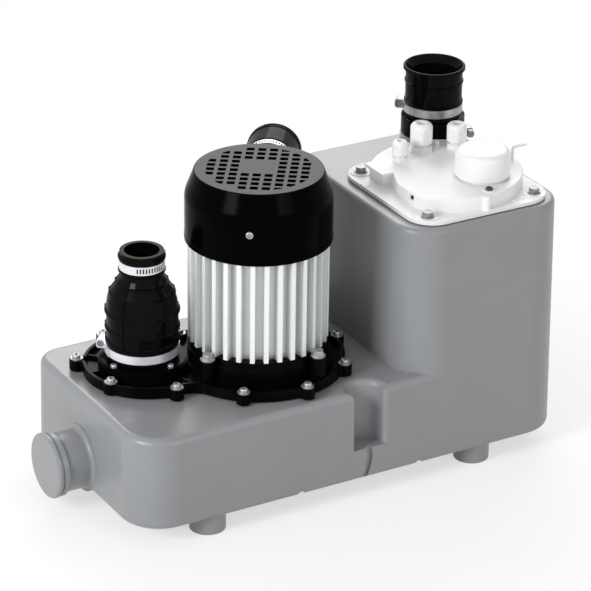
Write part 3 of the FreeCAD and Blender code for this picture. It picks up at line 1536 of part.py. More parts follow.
def make_valve_body():
    low = V.boss_top
    flange_top = low + V.valve_flange
    points = [(V.duct_radius, low), (V.valve_flange_radius, low), (V.valve_flange_radius, flange_top),
              (V.spigot_radius, flange_top), (V.spigot_radius, V.spigot_top),
              (V.valve_bore, V.spigot_top), (V.valve_bore, V.seat_top - 3),
              (V.seat_radius + 2, V.seat_top - 3), (V.seat_radius + 2, V.seat_top),
              (V.seat_radius, V.seat_top), (V.seat_radius, low + 4)]
    body = lathe(points)
    height = hinge_height()
    lug_low = V.seat_top - 4
    reach = V.valve_bore + 1.0
    x0 = V.flap_hinge - V.knuckle_radius
    lugs = []
    for side in (1, -1):
        y0, y1 = sorted((side * 5.0, side * 8.5))
        lug = slab(x0, reach, y0, y1, lug_low, height)
        eye = Part.makeCylinder(V.knuckle_radius, y1 - y0, vec(V.flap_hinge, y0, height), vec(0, 1, 0))
        eye_room = rod(V.valve_bore + 1.0, lug_low, height + V.knuckle_radius)
        lugs.append(lug.fuse(eye).common(eye_room))
    pin_hole = Part.makeCylinder(V.pin_radius + V.push_fit, 20.0, vec(V.flap_hinge, -10.0, height),
                                 vec(0, 1, 0))
    holes = [rod(V.valve_screw_radius + V.hole_clearance, low - 1, flange_top + 1,
                 x - V.valve_x, y - V.valve_y) for x, y in valve_screw_spots()]
    body = body.fuse(lugs).cut([pin_hole] + holes).removeSplitter()
    return place(formed("ValveBody", body), "valve_body", S.valve_x, S.valve_y)


def make_valve_flap():
    height = hinge_height()
    low = V.seat_top + V.flap_gap
    disc = rod(V.flap_radius, low, low + V.flap_thickness)
    boss = rod(V.flap_radius * 0.45, low, low + V.flap_thickness + 2.5)
    arm = slab(V.flap_radius * 0.5, V.flap_hinge, -4.2, 4.2, low + 1.0, low + V.flap_thickness)
    knuckle = Part.makeCylinder(V.knuckle_radius, 8.4, vec(V.flap_hinge, -4.2, height), vec(0, 1, 0))
    knuckle = knuckle.common(slab(0, 60, -10, 10, low - 0.2, height + 20))
    hole = Part.makeCylinder(V.pin_radius + V.running_fit, 20.0, vec(V.flap_hinge, -10.0, height),
                             vec(0, 1, 0))
    flap = disc.fuse([boss, arm, knuckle]).cut(hole).removeSplitter()
    return place(formed("ValveFlap", flap), "valve_flap", S.valve_x, S.valve_y)


def make_flap_pin():
    pin = Part.makeCylinder(V.pin_radius, 16.6, vec(V.flap_hinge, -8.3, hinge_height()), vec(0, 1, 0))
    return place(formed("FlapPin", pin), "flap_pin", S.valve_x, S.valve_y)


def make_valve_screws():
    seat = V.boss_top + V.valve_flange
    screw = socket_screw(V.valve_screw_radius, V.valve_flange + 8.0, 3.5, 3.4, seat)
    return place(group("ValveScrews", screw, valve_screw_spots()), "valve_screws")


def cone_profile(grow=0):
    """Outer (radius, height) points of the cone between its two bands, grown by an amount."""
    return [(radius + grow, S.cone_bottom + rise) for radius, rise in CONE_STEPS]


def cone_ribs():
    """Thin upright seams on the cone, which follow its beads."""
    profile = [(radius.value, height.value) for radius, height in cone_profile(S.cone_rib_rise)]
    seams = [point for point in profile if point[1] < V.cone_bottom + V.cone_height * 0.76]
    core = [(radius - V.cone_rib_rise - 1.0, height) for radius, height in seams]
    body = lathe(seams + core[::-1])
    half = V.cone_rib_width / 2
    rib = body.common(slab(0, V.cone_sleeve_radius * 2, -half, half, V.cone_bottom, V.cone_top))
    return round_about(rib, int(V.cone_rib_count), V.cone_rib_angle)


def make_discharge_cone():
    """Ribbed rubber cone: a sleeve for the valve's spigot, then a stepped neck for the pipe."""
    foot = S.cone_bottom
    sleeve = S.spigot_radius + S.clamp_fit
    wall = S.cone_wall
    outer = [(sleeve, foot), (S.cone_sleeve_radius, foot), (S.cone_sleeve_radius, foot + 15.6)]
    outer += cone_profile()
    outer.append((CONE_STEPS[-1][0], S.cone_top))
    inner = [(S.cone_mouth, S.cone_top), (S.cone_mouth, foot + 90)]
    inner += [(27.4 - wall, foot + 80), (34.6 - wall, foot + 68), (36.4 - wall, foot + 50)]
    inner += [(36.4 - wall, foot + 25), (sleeve, S.spigot_top - 1)]
    body = turned("ConeBody", outer + inner)
    seams = [formed("ConeSeam%d" % i, rib) for i, rib in enumerate(cone_ribs())]
    return place(fuse("DischargeCone", body, *seams), "discharge_cone", S.valve_x, S.valve_y)


# Hose clamps


def clamp_shape(radius, slots, turn):
    """Worm-drive band standing on height 0, with its screw housing at the turn angle."""
    width = V.clamp_width
    band = ring(radius + V.band_thickness, radius, 0, width)
    half = V.clamp_screw_radius + 1.0
    outer = radius + V.band_thickness
    housing = slab(outer - 1.5, outer + 2 * half, -7.0, 7.0, -0.4, width + 0.4)
    housing = housing.cut(rod(radius + 0.2, -1, width + 1))
    housing = soften(housing, 2.5, lambda e: abs(e.BoundBox.XMin - outer - 2 * half) < 0.01
                     and e.BoundBox.ZLength < 0.01)
    channel = Part.makeCylinder(V.clamp_screw_radius + 0.1, 30.0, vec(outer + half, -15.0, width / 2),
                                vec(0, 1, 0))
    tail = spun(ring(outer + V.band_thickness, outer + 0.02, 0.3, width - 0.3).common(
        slab(0, radius * 2, -14.0, 14.0, 0, width)), 24.0)
    band = band.fuse([housing.cut(channel), tail])
    cutters = []
    for i in range(slots):
        slot = slab(radius - 1, radius + 4, -V.clamp_slot_width / 2, V.clamp_slot_width / 2, width * 0.2,
                    width * 0.8)
        cutters.append(spun(slot, -25.0 - i * math.degrees(V.clamp_slot_pitch / radius)))
    if cutters:
        band = band.cut(cutters)
    return spun(band, turn)


def clamp_screw(radius, turn):
    """Worm screw of a band: a slotted hexagon head and its worm, along the band's tangent."""
    outer = radius + V.band_thickness
    half = V.clamp_screw_radius + 1.0
    worm = rod(V.clamp_screw_radius - 0.3, -6.0, 8.0)
    head = hexagon(V.clamp_screw_radius + 0.9, 8.0, 13.0)
    slot = slab(-10, 10, -0.6, 0.6, 11.5, 14.0)
    screw = worm.fuse(head).cut(slot)
    screw.rotate(vec(0, 0), vec(1, 0, 0), 90)
    screw = moved(screw, outer + half, 0, V.clamp_width / 2)
    return spun(screw, turn)


def rear_frame():
    """Placement whose Z axis runs along the rear sleeve, starting at the riser's bend."""
    heading = vec(math.cos(math.radians(V.rear_angle)), math.sin(math.radians(V.rear_angle)))
    corner = vec(V.riser_x, V.riser_y, V.riser_turn_z)
    return FreeCAD.Placement(corner, FreeCAD.Rotation(UP, heading))


def clamp_places():
    """Label, band radius, slot count, housing angle and placement of every clamp."""
    fit = V.clamp_fit
    width = V.clamp_width
    valve = (V.valve_x, V.valve_y)
    inlet = (V.inlet_x, V.inlet_y)
    upright = FreeCAD.Rotation()
    rear = rear_frame()
    back = rear.multiply(FreeCAD.Placement(vec(0, 0, V.rear_reach - V.rear_clamp_back - width / 2),
                                           FreeCAD.Rotation(UP, 150)))
    return [
        ("cone_upper_clamp", 22.6 + fit, 20, 40.0,
         FreeCAD.Placement(vec(*valve, V.cone_bottom + V.cone_clamp_rise), upright)),
        ("cone_lower_clamp", V.cone_sleeve_radius + fit, 0, 138.0,
         FreeCAD.Placement(vec(*valve, V.cone_bottom + 4.0), upright)),
        ("inlet_upper_clamp", V.inlet_body_radius + fit, 0, 137.0,
         FreeCAD.Placement(vec(*inlet, V.inlet_upper_clamp), upright)),
        ("inlet_lower_clamp", V.inlet_lower_radius + fit, 0, -12.0,
         FreeCAD.Placement(vec(*inlet, V.inlet_lower_clamp), upright)),
        ("rear_clamp", V.rear_sleeve_radius + fit, 30, 230.0, back),
    ]


def make_clamps():
    screws = []
    for label, radius, slots, turn, spot in clamp_places():
        band = clamp_shape(radius, slots, turn)
        band.Placement = spot.multiply(band.Placement)
        place(formed(label.title().replace("_", ""), Part.makeCompound([band])), label)
        screw = clamp_screw(radius, turn)
        screw.Placement = spot.multiply(screw.Placement)
        screws.append(screw)
    place(formed("ClampScrews", Part.makeCompound(screws)), "clamp_screws")


# Top inlet sleeve


def make_inlet_sleeve():
    """Rubber sleeve on the tank's upright spigot, with a beaded neck for the inlet pipe."""
    body = S.inlet_body_radius
    bead = body + S.inlet_bead
    fit = S.inlet_spigot + S.clamp_fit
    lip_bottom = S.inlet_top - S.inlet_lip
    outer = [(fit, S.inlet_bottom), (S.inlet_lower_radius, S.inlet_bottom),
             (S.inlet_lower_radius, S.inlet_step - 1.5), (body, S.inlet_step)]
    for gap in (15.2, 38.0):
        spot = S.inlet_step + gap
        outer += [(body, spot - 1.2), (bead, spot - 0.6), (bead, spot + 0.6), (body, spot + 1.2)]
    outer += [(body, lip_bottom), (S.inlet_lip_radius, lip_bottom + 0.6),
              (S.inlet_lip_radius, S.inlet_top - 1), (S.inlet_lip_radius - 1, S.inlet_top)]
    inner = [(S.inlet_mouth, S.inlet_top), (S.inlet_bore, S.inlet_top - 8),
             (S.inlet_bore, S.inlet_spigot_top + 1), (fit, S.inlet_spigot_top + 1)]
    return place(turned("InletSleeve", outer + inner), "inlet_sleeve", S.inlet_x, S.inlet_y)


# Rear riser and sleeve


def make_riser():
    heading = vec(math.cos(math.radians(V.rear_angle)), math.sin(math.radians(V.rear_angle)))
    corner = vec(V.riser_x, V.riser_y, V.riser_turn_z)
    end = corner + heading * (V.rear_reach - V.rear_sleeve_length + V.rear_spigot_length)
    bottom = V.low_top - V.tank_wall - 14.0
    points = [(V.riser_x, V.riser_y, bottom), tuple(corner), tuple(end)]
    tube = pipe(points, V.riser_radius, V.riser_bend)
    spigot_start = corner + heading * (V.rear_reach - V.rear_sleeve_length)
    spigot = Part.makeCylinder(V.rear_spigot_radius, V.rear_spigot_length, spigot_start, heading)
    bore = pipe(points, V.riser_radius - V.riser_wall, V.riser_bend)
    riser = tube.fuse(spigot).cut(bore).removeSplitter()
    return place(formed("RiserElbow", riser), "riser_elbow")


def make_riser_seal():
    low = S.low_top
    top = low + S.riser_seal_height
    bore = S.riser_radius + S.push_fit
    points = [(bore, low), (S.riser_seal_radius, low), (S.riser_seal_radius, low + 2.5),
              (S.riser_radius + 2.5, top), (bore, top)]
    return place(turned("RiserSeal", points), "riser_seal", S.riser_x, S.riser_y)


def make_rear_sleeve():
    outer = V.rear_sleeve_radius
    inner = outer - V.rear_sleeve_wall
    root = V.rear_spigot_radius + V.clamp_fit
    start = V.rear_reach - V.rear_sleeve_length
    step = start + V.rear_spigot_length
    end = V.rear_reach
    body = V.rear_body_radius
    points = [(inner, step), (root, step), (root, start), (outer, start), (outer, start + 14),
              (body - 0.8, start + 16), (body - 0.8, end - 8), (body, end - 7), (body, end - 5.5),
              (body - 0.8, end - 5), (body - 0.8, end - 3), (body, end - 2.5), (body, end - 1),
              (body - 1, end), (inner + 0.8, end), (inner, end - 4)]
    sleeve = lathe(points)
    sleeve.Placement = rear_frame().multiply(sleeve.Placement)
    return place(formed("RearSleeve", Part.makeCompound([sleeve])), "rear_sleeve")


# Control cover


def control_bolt_spots():
    """Bolt places round the control cover, as steps from its centre."""
    return [(sx * V.control_bolt_x, sy * V.control_bolt_y + V.control_bolt_shift)
            for sx in (-1, 1) for sy in (-1, 1)]


def sleeve_room(height, thickness):
    """Room for the inlet sleeve beside the cover, as steps from the cover's centre."""
    return rod(V.inlet_lower_radius + V.control_sleeve_gap, height - 1, height + thickness + 1,
               V.inlet_x - V.control_x, V.inlet_y - V.control_y)


def control_outline(height, thickness, shrink=0.0):
    """Cover plate: a square with large round corners, hollowed where the inlet sleeve stands."""
    wide = V.control_half_x - shrink
    deep = V.control_half_y - shrink
    corner = V.control_corner - shrink
    sheet = Part.Face(rounded_wire(-wide, wide, -deep, deep, height, corner, corner))
    return sheet.extrude(vec(0, 0, thickness)).cut(sleeve_room(height, thickness))


def make_control_gasket():
    sheet = control_outline(V.tower_top, V.control_gasket, 0.8)
    hole = rod(V.control_hole, V.tower_top - 1, V.tower_top + V.control_gasket + 1)
    bolts = [rod(V.control_bolt_radius + V.hole_clearance, V.tower_top - 1, V.control_top, x, y)
             for x, y in control_bolt_spots()]
    return place(formed("ControlGasket", sheet.cut([hole] + bolts)), "control_gasket",
                 S.control_x, S.control_y)


def make_control_plate():
    low = V.control_bottom
    top = V.control_top
    box_room = rod(V.box_radius + V.seat_gap, top - 1, V.box_top, V.box_x, V.box_y)
    raised = [rod(V.control_pad_radius, top - 1, V.pad_top, x, y) for x, y in control_bolt_spots()]
    raised += [slab(*rib, top - 1, V.pad_top) for rib in PLATE_RIBS]
    room = sleeve_room(low, V.control_plate + V.control_pad_rise)
    raised = [piece.cut([box_room, room]) for piece in raised]
    plate = control_outline(low, V.control_plate).fuse(raised)
    tools = [rod(V.control_bolt_radius + V.hole_clearance, low - 1, V.pad_top + 1, x, y)
             for x, y in control_bolt_spots()]
    tools.append(rod(V.dip_tube_radius + V.push_fit, low - 1, top + 1, V.dome_x, V.dome_y))
    tools += [rod(1.7, low + 1, top + 1, x, y) for x, y in PLATE_NOTCHES]
    plate = plate.cut(tools).removeSplitter()
    return place(formed("ControlPlate", plate), "control_plate", S.control_x, S.control_y)


def make_control_bolts():
    bolt = hex_bolt(V.control_bolt_radius, V.control_bolt_length, V.control_bolt_hex,
                    V.control_bolt_head, V.pad_top, V.control_bolt_flange)
    thing = group("ControlBolts", bolt, control_bolt_spots())
    return place(thing, "control_bolts", S.control_x, S.control_y)


def box_form(shrink, low, top):
    """Round control box with its flat side, one soft corner and the recess beside the tab."""
    disc = rod(V.box_radius - shrink, low, top, V.box_x, V.box_y)
    flat = shrink - V.box_flat
    form = disc.common(slab(flat, 200, -200, 200, low, top))
    form = soften(form, V.box_corner - shrink, lambda e: is_upright_at(e, flat, -1))
    corners = [vec(x, y, low - 1) for x, y in BOX_RECESS]
    recess = Part.Face(Part.makePolygon(corners + corners[:1]))
    if shrink > 0:
        recess = Part.Face(recess.makeOffset2D(shrink).OuterWire)
    return form.cut(recess.extrude(vec(0, 0, top - low + 2))).removeSplitter()


def is_upright_at(edge, x, side):
    """True for an upright edge at one X, on the front side where side is -1."""
    box_of_edge = edge.BoundBox
    upright = box_of_edge.ZLength > 1 and box_of_edge.XLength < 0.01 and box_of_edge.YLength < 0.01
    return upright and abs(box_of_edge.XMin - x) < 0.01 and box_of_edge.YMin * side > 0


def gland_rows():
    """Name, place and size of each cable gland, from the centre of the control cover."""
    return [
        ("small", V.small_gland_x, V.small_gland_y, V.small_gland_radius, V.small_gland_height),
        ("large", V.large_gland_x, V.large_gland_y, V.large_gland_radius, V.large_gland_height),
        ("middle", V.middle_gland_x, V.middle_gland_y, V.middle_gland_radius, V.middle_gland_height),
    ]


def make_control_box():
    low = V.control_top
    top = V.box_top
    outer = box_form(0.0, low, top)
    outer = soften(outer, V.box_edge, lambda e: is_level_at(e, top))
    inner = box_form(V.box_wall, low - 1, top - V.box_wall)
    tab = slab(V.tab_x, V.tab_x + V.tab_length, V.tab_y, V.tab_y + V.tab_width, top - V.tab_thickness, top)
    tab_box = slab(V.tab_x + 7, V.tab_x + V.tab_length, V.tab_y + 1.2, V.tab_y + 18, low,
                   top - V.tab_thickness)
    neck = rod(V.dome_neck, top - V.box_wall, V.dome_bottom, V.dome_x, V.dome_y)
    boss = rod(V.case_boss_radius, low, top + V.case_boss_rise, V.case_screw_x, V.case_screw_y)
    column = rod(V.column_radius, low, top, V.column_x, V.column_y)
    nub = soften(rod(V.nub_radius, top - 1, top + V.nub_height, V.nub_x, V.nub_y), 1.0,
                 lambda e: is_level_at(e, top + V.nub_height))
    shell = outer.fuse([tab, tab_box, neck]).cut(inner)
    shell = shell.fuse([boss, column, nub])
    holes = [rod(0.72 * radius, low, top + 1, x, y) for name, x, y, radius, height in gland_rows()]
    holes.append(rod(V.membrane_radius + 0.2, top - V.box_wall - 1, V.dome_bottom + 1, V.dome_x, V.dome_y))
    holes.append(rod(V.cover_screw_radius + V.push_fit, low + 1, top + 2, V.case_screw_x, V.case_screw_y))
    holes.append(rod(V.vent_radius + V.push_fit, top - V.box_wall - 1, top + 1, V.vent_x, V.vent_y))
    slot = slab(V.box_flat * 0.8, V.box_radius, -2.5, 2.5, top - 8.2, top - 3.0)
    holes.append(spun(slot, V.case_slot_angle))
    bolt_room = [rod(V.control_bolt_flange + 1.0, low - 1, top + 1, x, y) for x, y in control_bolt_spots()]
    shell = shell.cut(holes + bolt_room)
    return place(formed("ControlBox", shell.removeSplitter()), "control_box", S.control_x, S.control_y)


def make_glands():
    seals = []
    for name, x, y, radius, height in gland_rows():
        top = V.box_top
        bore = 0.42 * radius
        thread = 0.70 * radius
        base = hexagon(1.04 * radius, top, top + 0.13 * height)
        collar = rod(0.9 * radius, top, top + 0.2 * height)
        stem = rod(thread, top - V.box_wall - 5.0, top + 0.62 * height)
        hollow = rod(0.56 * radius, top - 20, top + height)
        body = base.fuse([collar, stem]).cut(hollow).removeSplitter()
        cap_low = top + 0.31 * height
        cap_top = top + height
        dome = lathe([(0, cap_low), (radius - 0.5, cap_low), (radius, cap_low + 0.5),
                      (radius, cap_top - 0.26 * height), (0.97 * radius, cap_top - 0.16 * height),
                      (0.88 * radius, cap_top - 0.07 * height), (0.74 * radius, cap_top - 0.015 * height),
                      (0.6 * radius, cap_top), (0, cap_top)])
        inside = rod(thread + 0.15, cap_low - 1, top + 0.66 * height)
        hole = rod(bore, cap_low, cap_top + 1)
        flats = hexagon(1.07 * radius, cap_low - 1, cap_top + 1)
        nut = dome.common(flats).cut([inside, hole]).removeSplitter()
        label = name + "_gland"
        place(formed(name.title() + "GlandBody", moved(body, x, y)), label + "_body",
              S.control_x, S.control_y)
        place(formed(name.title() + "GlandNut", moved(nut, x, y)), label + "_nut",
              S.control_x, S.control_y)
        seal = ring(0.55 * radius, bore, top + 0.3 * height, top + 0.64 * height, x, y)
        seals.append(seal)
    place(formed("GlandSeals", Part.makeCompound(seals)), "gland_seals", S.control_x, S.control_y)


def make_level_cap():
    """Domed cap over the level switch."""
    radius = S.dome_radius
    wall = S.dome_wall
    low = S.dome_bottom
    top = S.dome_top
    side = top - S.dome_crown
    points = [(radius - wall, low), (radius, low), (radius, side), (0, top), (0, top - wall),
              (radius - wall, side - wall)]
    roundings = [([(radius, side)], S.dome_rounding),
                 ([(radius - wall, side - wall)], S.dome_rounding - wall)]
    cap = turned("LevelCap", points, roundings)
    x = S.control_x + S.dome_x
    y = S.control_y + S.dome_y
    return place(cap, "level_cap", x, y)


def make_level_switch():
    x = S.control_x + S.dome_x
    y = S.control_y + S.dome_y
    membrane = turned("Membrane", [(0, S.membrane_height - S.membrane_thickness),
                                   (S.membrane_radius, S.membrane_height - S.membrane_thickness),
                                   (S.membrane_radius, S.membrane_height), (0, S.membrane_height)])
    place(membrane, "level_membrane", x, y)
    plunger_low = S.membrane_height + 0.3
    plunger = turned("Plunger", [(0, plunger_low), (S.plunger_radius * 2, plunger_low),
                                 (S.plunger_radius * 2, plunger_low + 1.5),
                                 (S.plunger_radius, plunger_low + 1.5),
                                 (S.plunger_radius, plunger_low + S.plunger_height),
                                 (0, plunger_low + S.plunger_height)])
    place(plunger, "level_plunger", x, y)
    switch = box("SwitchBlock", S.switch_length, S.switch_width, S.switch_height, 0, 0, S.switch_bottom)
    socket = cylinder("SwitchSocket", S.plunger_radius + S.running_fit, 4, 0, 0, S.switch_bottom - 1)
    switch_top = S.switch_bottom + S.switch_height
    post_height = S.dome_top - S.dome_wall - S.seat_gap - switch_top
    post = cylinder("SwitchPost", S.plunger_radius, post_height, 0, 0, switch_top)
    place(cut("LevelSwitch", fuse("SwitchAndPost", switch, post), socket), "level_switch", x, y)
    reach = S.box_top - S.box_wall - S.dip_tube_bottom - 6
    tube = cylinder("DipTubeOuter", S.dip_tube_radius, reach, 0, 0, S.dip_tube_bottom)
    bore = cylinder("DipTubeBore", S.dip_tube_radius - 1.2, reach + 2, 0, 0, S.dip_tube_bottom - 1)
    place(cut("DipTube", tube, bore), "dip_tube", x, y)


def make_circuit_board():
    x = S.control_x + S.board_x
    y = S.control_y + S.board_y
    low = S.control_top + 3
    board = box("Board", S.board_length, S.board_width, S.board_thickness, 0, 0, low)
    legs = []
    for sx in (-1, 1):
        for sy in (-1, 1):
            legs.append(cylinder("BoardLeg", 2, low - S.control_top, (S.board_length / 2 - 4) * sx,
                                 (S.board_width / 2 - 4) * sy, S.control_top))
    place(fuse("CircuitBoard", board, *legs), "circuit_board", x, y)
    capacitor = cylinder("Capacitor", S.capacitor_radius, S.board_length / 2,
                         0, 0, 0)
    capacitor.Placement = FreeCAD.Placement(vec(0, 0), FreeCAD.Rotation(vec(0, 1, 0), 90))
    place_lying(capacitor, "run_capacitor", x - S.board_length / 4, y + S.board_width / 4,
                low + S.board_thickness + S.capacitor_radius + S.push_fit)


def place_lying(thing, label, x, y, z):
    """Place a piece that keeps the rotation it already has."""
    across = as_size(x) - CENTRE_X
    deep = as_size(y) - CENTRE_Y
    shift(thing, across, deep, z)
    thing.Label = label
    SUBPARTS[label] = thing


def make_vent_elbow():
    top = V.box_top
    points = [(0, 0, top - V.box_wall), (0, 0, top + V.vent_rise), (V.vent_reach, 0, top + V.vent_rise)]
    tube = pipe(points, V.vent_radius, 3.0)
    bore = pipe(points, V.vent_radius - 0.7, 3.0)
    return place(formed("VentElbow", tube.cut(bore)), "vent_elbow", S.control_x + S.vent_x,
                 S.control_y + S.vent_y)


def check_and_write():
    """Stop on any failed object, then write each sub-part's shape."""
    DOC.recompute()
    for thing in DOC.Objects:
        bad = [state for state in thing.State if state in ("Invalid", "Error")]
        if bad:
            raise RuntimeError("%s failed: %s" % (thing.Name, thing.State))
    os.makedirs("parts", exist_ok=True)
    for label, thing in SUBPARTS.items():
        shape = thing.Shape
        if shape.isNull() or not shape.isValid():
            raise RuntimeError("%s has no valid shape" % label)
        extent = shape.BoundBox
        print("%-20s solids %2d  x %7.1f %7.1f  y %7.1f %7.1f  z %6.1f %6.1f" % (
            label, len(shape.Solids), extent.XMin, extent.XMax, extent.YMin, extent.YMax,
            extent.ZMin, extent.ZMax))
        shape.exportStep(os.path.join("parts", label + ".step"))
    print("sub-parts:", len(SUBPARTS))


def main():
    make_tank()
    make_plate_gasket()
    make_pump_plate()
    make_plate_screws()
    make_motor_base()
    make_base_bolts()
    make_washers()
    make_motor_housing()
    make_stator()
    make_rotor()
    make_bearings()
    make_end_shield()
    make_shaft_seal()
    make_cooling_fan()
    make_fan_cover()
    make_cross_head_screws()
    make_volute()
    make_discharge_duct()
    make_suction_cover()
    make_strainer()
    make_volute_screws()
    make_impeller()
    make_impeller_nut()
    make_valve_body()
    make_valve_flap()
    make_flap_pin()
    make_valve_screws()
    make_discharge_cone()
    make_clamps()
    make_inlet_sleeve()
    make_riser()
    make_riser_seal()
    make_rear_sleeve()
    make_control_gasket()
    make_control_plate()
    make_control_bolts()
    make_control_box()
    make_glands()
    make_level_cap()
    make_level_switch()
    make_circuit_board()
    make_vent_elbow()
    check_and_write()


main()
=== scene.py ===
import json
import math

import bpy
from mathutils import Matrix, Vector


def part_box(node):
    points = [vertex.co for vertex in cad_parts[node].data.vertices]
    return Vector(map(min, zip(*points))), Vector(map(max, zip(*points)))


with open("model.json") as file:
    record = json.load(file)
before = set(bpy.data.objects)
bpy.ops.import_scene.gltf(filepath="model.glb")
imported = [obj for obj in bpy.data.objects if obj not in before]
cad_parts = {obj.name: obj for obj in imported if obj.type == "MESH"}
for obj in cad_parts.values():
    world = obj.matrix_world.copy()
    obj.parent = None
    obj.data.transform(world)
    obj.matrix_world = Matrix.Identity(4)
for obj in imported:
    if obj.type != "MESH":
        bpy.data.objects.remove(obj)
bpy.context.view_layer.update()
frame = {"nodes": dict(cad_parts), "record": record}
NODES = frame["nodes"]

# Camera: where the photograph was taken from, in metres and degrees, and its field of view.
PHOTO_SIZE = 591
FOCAL_PIXELS = 3189.0
SENSOR_WIDTH = 36.0
CAMERA_SPOT = (-1.5027, -2.6221, 1.6108)
CAMERA_HEADING = 30.24
CAMERA_TILT = 25.38
CAMERA_ROLL = 0.779
CAMERA_REACH = 50.0

# Colours as linear values.
TANK_GREY = (0.235, 0.243, 0.252)
PLATE_BLACK = (0.0015, 0.0015, 0.0015)
COVER_BLACK = (0.0007, 0.0007, 0.0007)
RUBBER_BLACK = (0.0015, 0.0015, 0.0015)
SEAL_BLACK = (0.02, 0.02, 0.02)
FIN_SILVER = (0.80, 0.82, 0.82)
BAND_SILVER = (0.74, 0.74, 0.80)
BAND_GREY = (0.36, 0.36, 0.36)
ZINC = (0.40, 0.41, 0.42)
DARK_ZINC = (0.26, 0.26, 0.26)
BLACKENED = (0.07, 0.07, 0.07)
COVER_WHITE = (0.80, 0.80, 0.80)
COPPER = (0.62, 0.26, 0.12)
BRASS = (0.70, 0.52, 0.22)
BOARD_GREEN = (0.02, 0.14, 0.05)
LAMINATION = (0.22, 0.23, 0.25)
FLOOR_WHITE = (0.94, 0.94, 0.94)
PURE_WHITE = (1, 1, 1, 1)

# Nodes whose finish differs from that of their slot.
OWN_FINISH = {
    "cross_head_screws": "cross_head",
    "clamp_screws": "dark_steel",
    "inlet_upper_clamp": "band_grey",
    "inlet_lower_clamp": "band_grey",
}

# Range that most of a noise's values lie in.
NOISE_LOW = 0.3
NOISE_HIGH = 0.7

# Upward share of a surface's direction where the gloss of top faces starts, and where it is full.
GLOSS_START = 0.75
GLOSS_FULL = 0.98

# Rubber's plain reflection and the thin shine over it.
RUBBER_SPECULAR = 0.012
RUBBER_COAT = 0.1
RUBBER_COAT_ROUGHNESS = 0.06

# Motor fins: distances from the motor's axis to the gaps and to the tips, in metres, over which the
# painted shade in the gaps fades to the lighter tips.
FIN_ROOT = 0.062
FIN_TIP = 0.0735

# Cross-head screws: place along X beyond which they are blackened, and half the change's width.
BLACKENED_FROM = 0.1
BLACKENED_BLUR = 0.01

# Floor: its size, where its fade to pure white starts and ends, and the share of white before it.
FLOOR_SIZE = 12.0
FLOOR_NEAR = 0.32
FLOOR_FAR = 0.62
FLOOR_GLOW = 0.6

# Light: the world's strength, what the lamps aim at, and each lamp's place, size and power.
WORLD_STRENGTH = 0.5
LAMP_TARGET = (0.0, 0.0, 0.18)
LAMPS = {
    "left_box": ((-2.2, -0.6, 1.3), (0.8, 0.8), 42.0),
    "front_box": ((0.5, -2.4, 1.3), (1.0, 0.6), 12.0),
    "back_box": ((1.1, 1.9, 1.75), (2.6, 1.4), 40.0),
}


# Node building


class Surface:
    """A material under construction: one principled shader and the nodes that feed it."""

    def __init__(self, name, roughness, metallic=0.0, specular=0.5):
        self.material = bpy.data.materials.new(name)
        self.material.use_nodes = True
        self.nodes = self.material.node_tree.nodes
        self.links = self.material.node_tree.links
        self.shader = self.nodes["Principled BSDF"]
        self.shader.inputs["Roughness"].default_value = roughness
        self.shader.inputs["Metallic"].default_value = metallic
        self.shader.inputs["Specular IOR Level"].default_value = specular
        self.place = self.nodes.new("ShaderNodeTexCoord").outputs["Object"]
        self.last_normal = None

    def noise(self, scale, stretch=(1, 1, 1), detail=4.0):
        """Noise over the object's own metres, stretched along its axes."""
        mapping = self.nodes.new("ShaderNodeMapping")
        mapping.inputs["Scale"].default_value = stretch
        self.links.new(self.place, mapping.inputs["Vector"])
        texture = self.nodes.new("ShaderNodeTexNoise")
        texture.inputs["Scale"].default_value = scale
        texture.inputs["Detail"].default_value = detail
        texture.inputs["Roughness"].default_value = 0.55
        self.links.new(mapping.outputs["Vector"], texture.inputs["Vector"])
        return texture.outputs["Fac"]

    def span(self, value, start, end, low=0.0, high=1.0):
        """Number that runs from low to high while a value runs from start to end."""
        mapped = self.nodes.new("ShaderNodeMapRange")
        mapped.inputs["From Min"].default_value = start
        mapped.inputs["From Max"].default_value = end
        mapped.inputs["To Min"].default_value = low
        mapped.inputs["To Max"].default_value = high
        self.links.new(value, mapped.inputs["Value"])
        return mapped.outputs["Result"]

    def along(self, vector, axis):
        """One coordinate of a vector."""
        split = self.nodes.new("ShaderNodeSeparateXYZ")
        self.links.new(vector, split.inputs["Vector"])
        return split.outputs[axis]

    def colour(self, factor, dark, light):
        """Base colour that varies between two colours with a factor."""
        ramp = self.nodes.new("ShaderNodeValToRGB")
        ramp.color_ramp.elements[0].position = NOISE_LOW
        ramp.color_ramp.elements[1].position = NOISE_HIGH
        ramp.color_ramp.elements[0].color = (*dark, 1)
        ramp.color_ramp.elements[1].color = (*light, 1)
        self.links.new(factor, ramp.inputs["Fac"])
        self.links.new(ramp.outputs["Color"], self.shader.inputs["Base Color"])

    def roughness(self, factor, low, high):
        """Roughness that varies from low to high with a noise."""
        rough = self.span(factor, NOISE_LOW, NOISE_HIGH, low, high)
        self.links.new(rough, self.shader.inputs["Roughness"])

    def glossy_top(self, weight, rough):
        """Clear gloss on the level top faces of a piece, which fades out towards its sides."""
        normal = self.nodes.new("ShaderNodeTexCoord").outputs["Normal"]
        gloss = self.span(self.along(normal, "Z"), GLOSS_START, GLOSS_FULL, high=weight)
        self.links.new(gloss, self.shader.inputs["Coat Weight"])
        self.shader.inputs["Coat Roughness"].default_value = rough

    def bump(self, height, painted_gap_shade, strength=1.0):
        """Relief on top of what the surface has already, its depth in metres."""
        relief = self.nodes.new("ShaderNodeBump")
        relief.inputs["Distance"].default_value = painted_gap_shade
        relief.inputs["Strength"].default_value = strength
        self.links.new(height, relief.inputs["Height"])
        if self.last_normal is not None:
            self.links.new(self.last_normal, relief.inputs["Normal"])
        self.last_normal = relief.outputs["Normal"]
        self.links.new(self.last_normal, self.shader.inputs["Normal"])


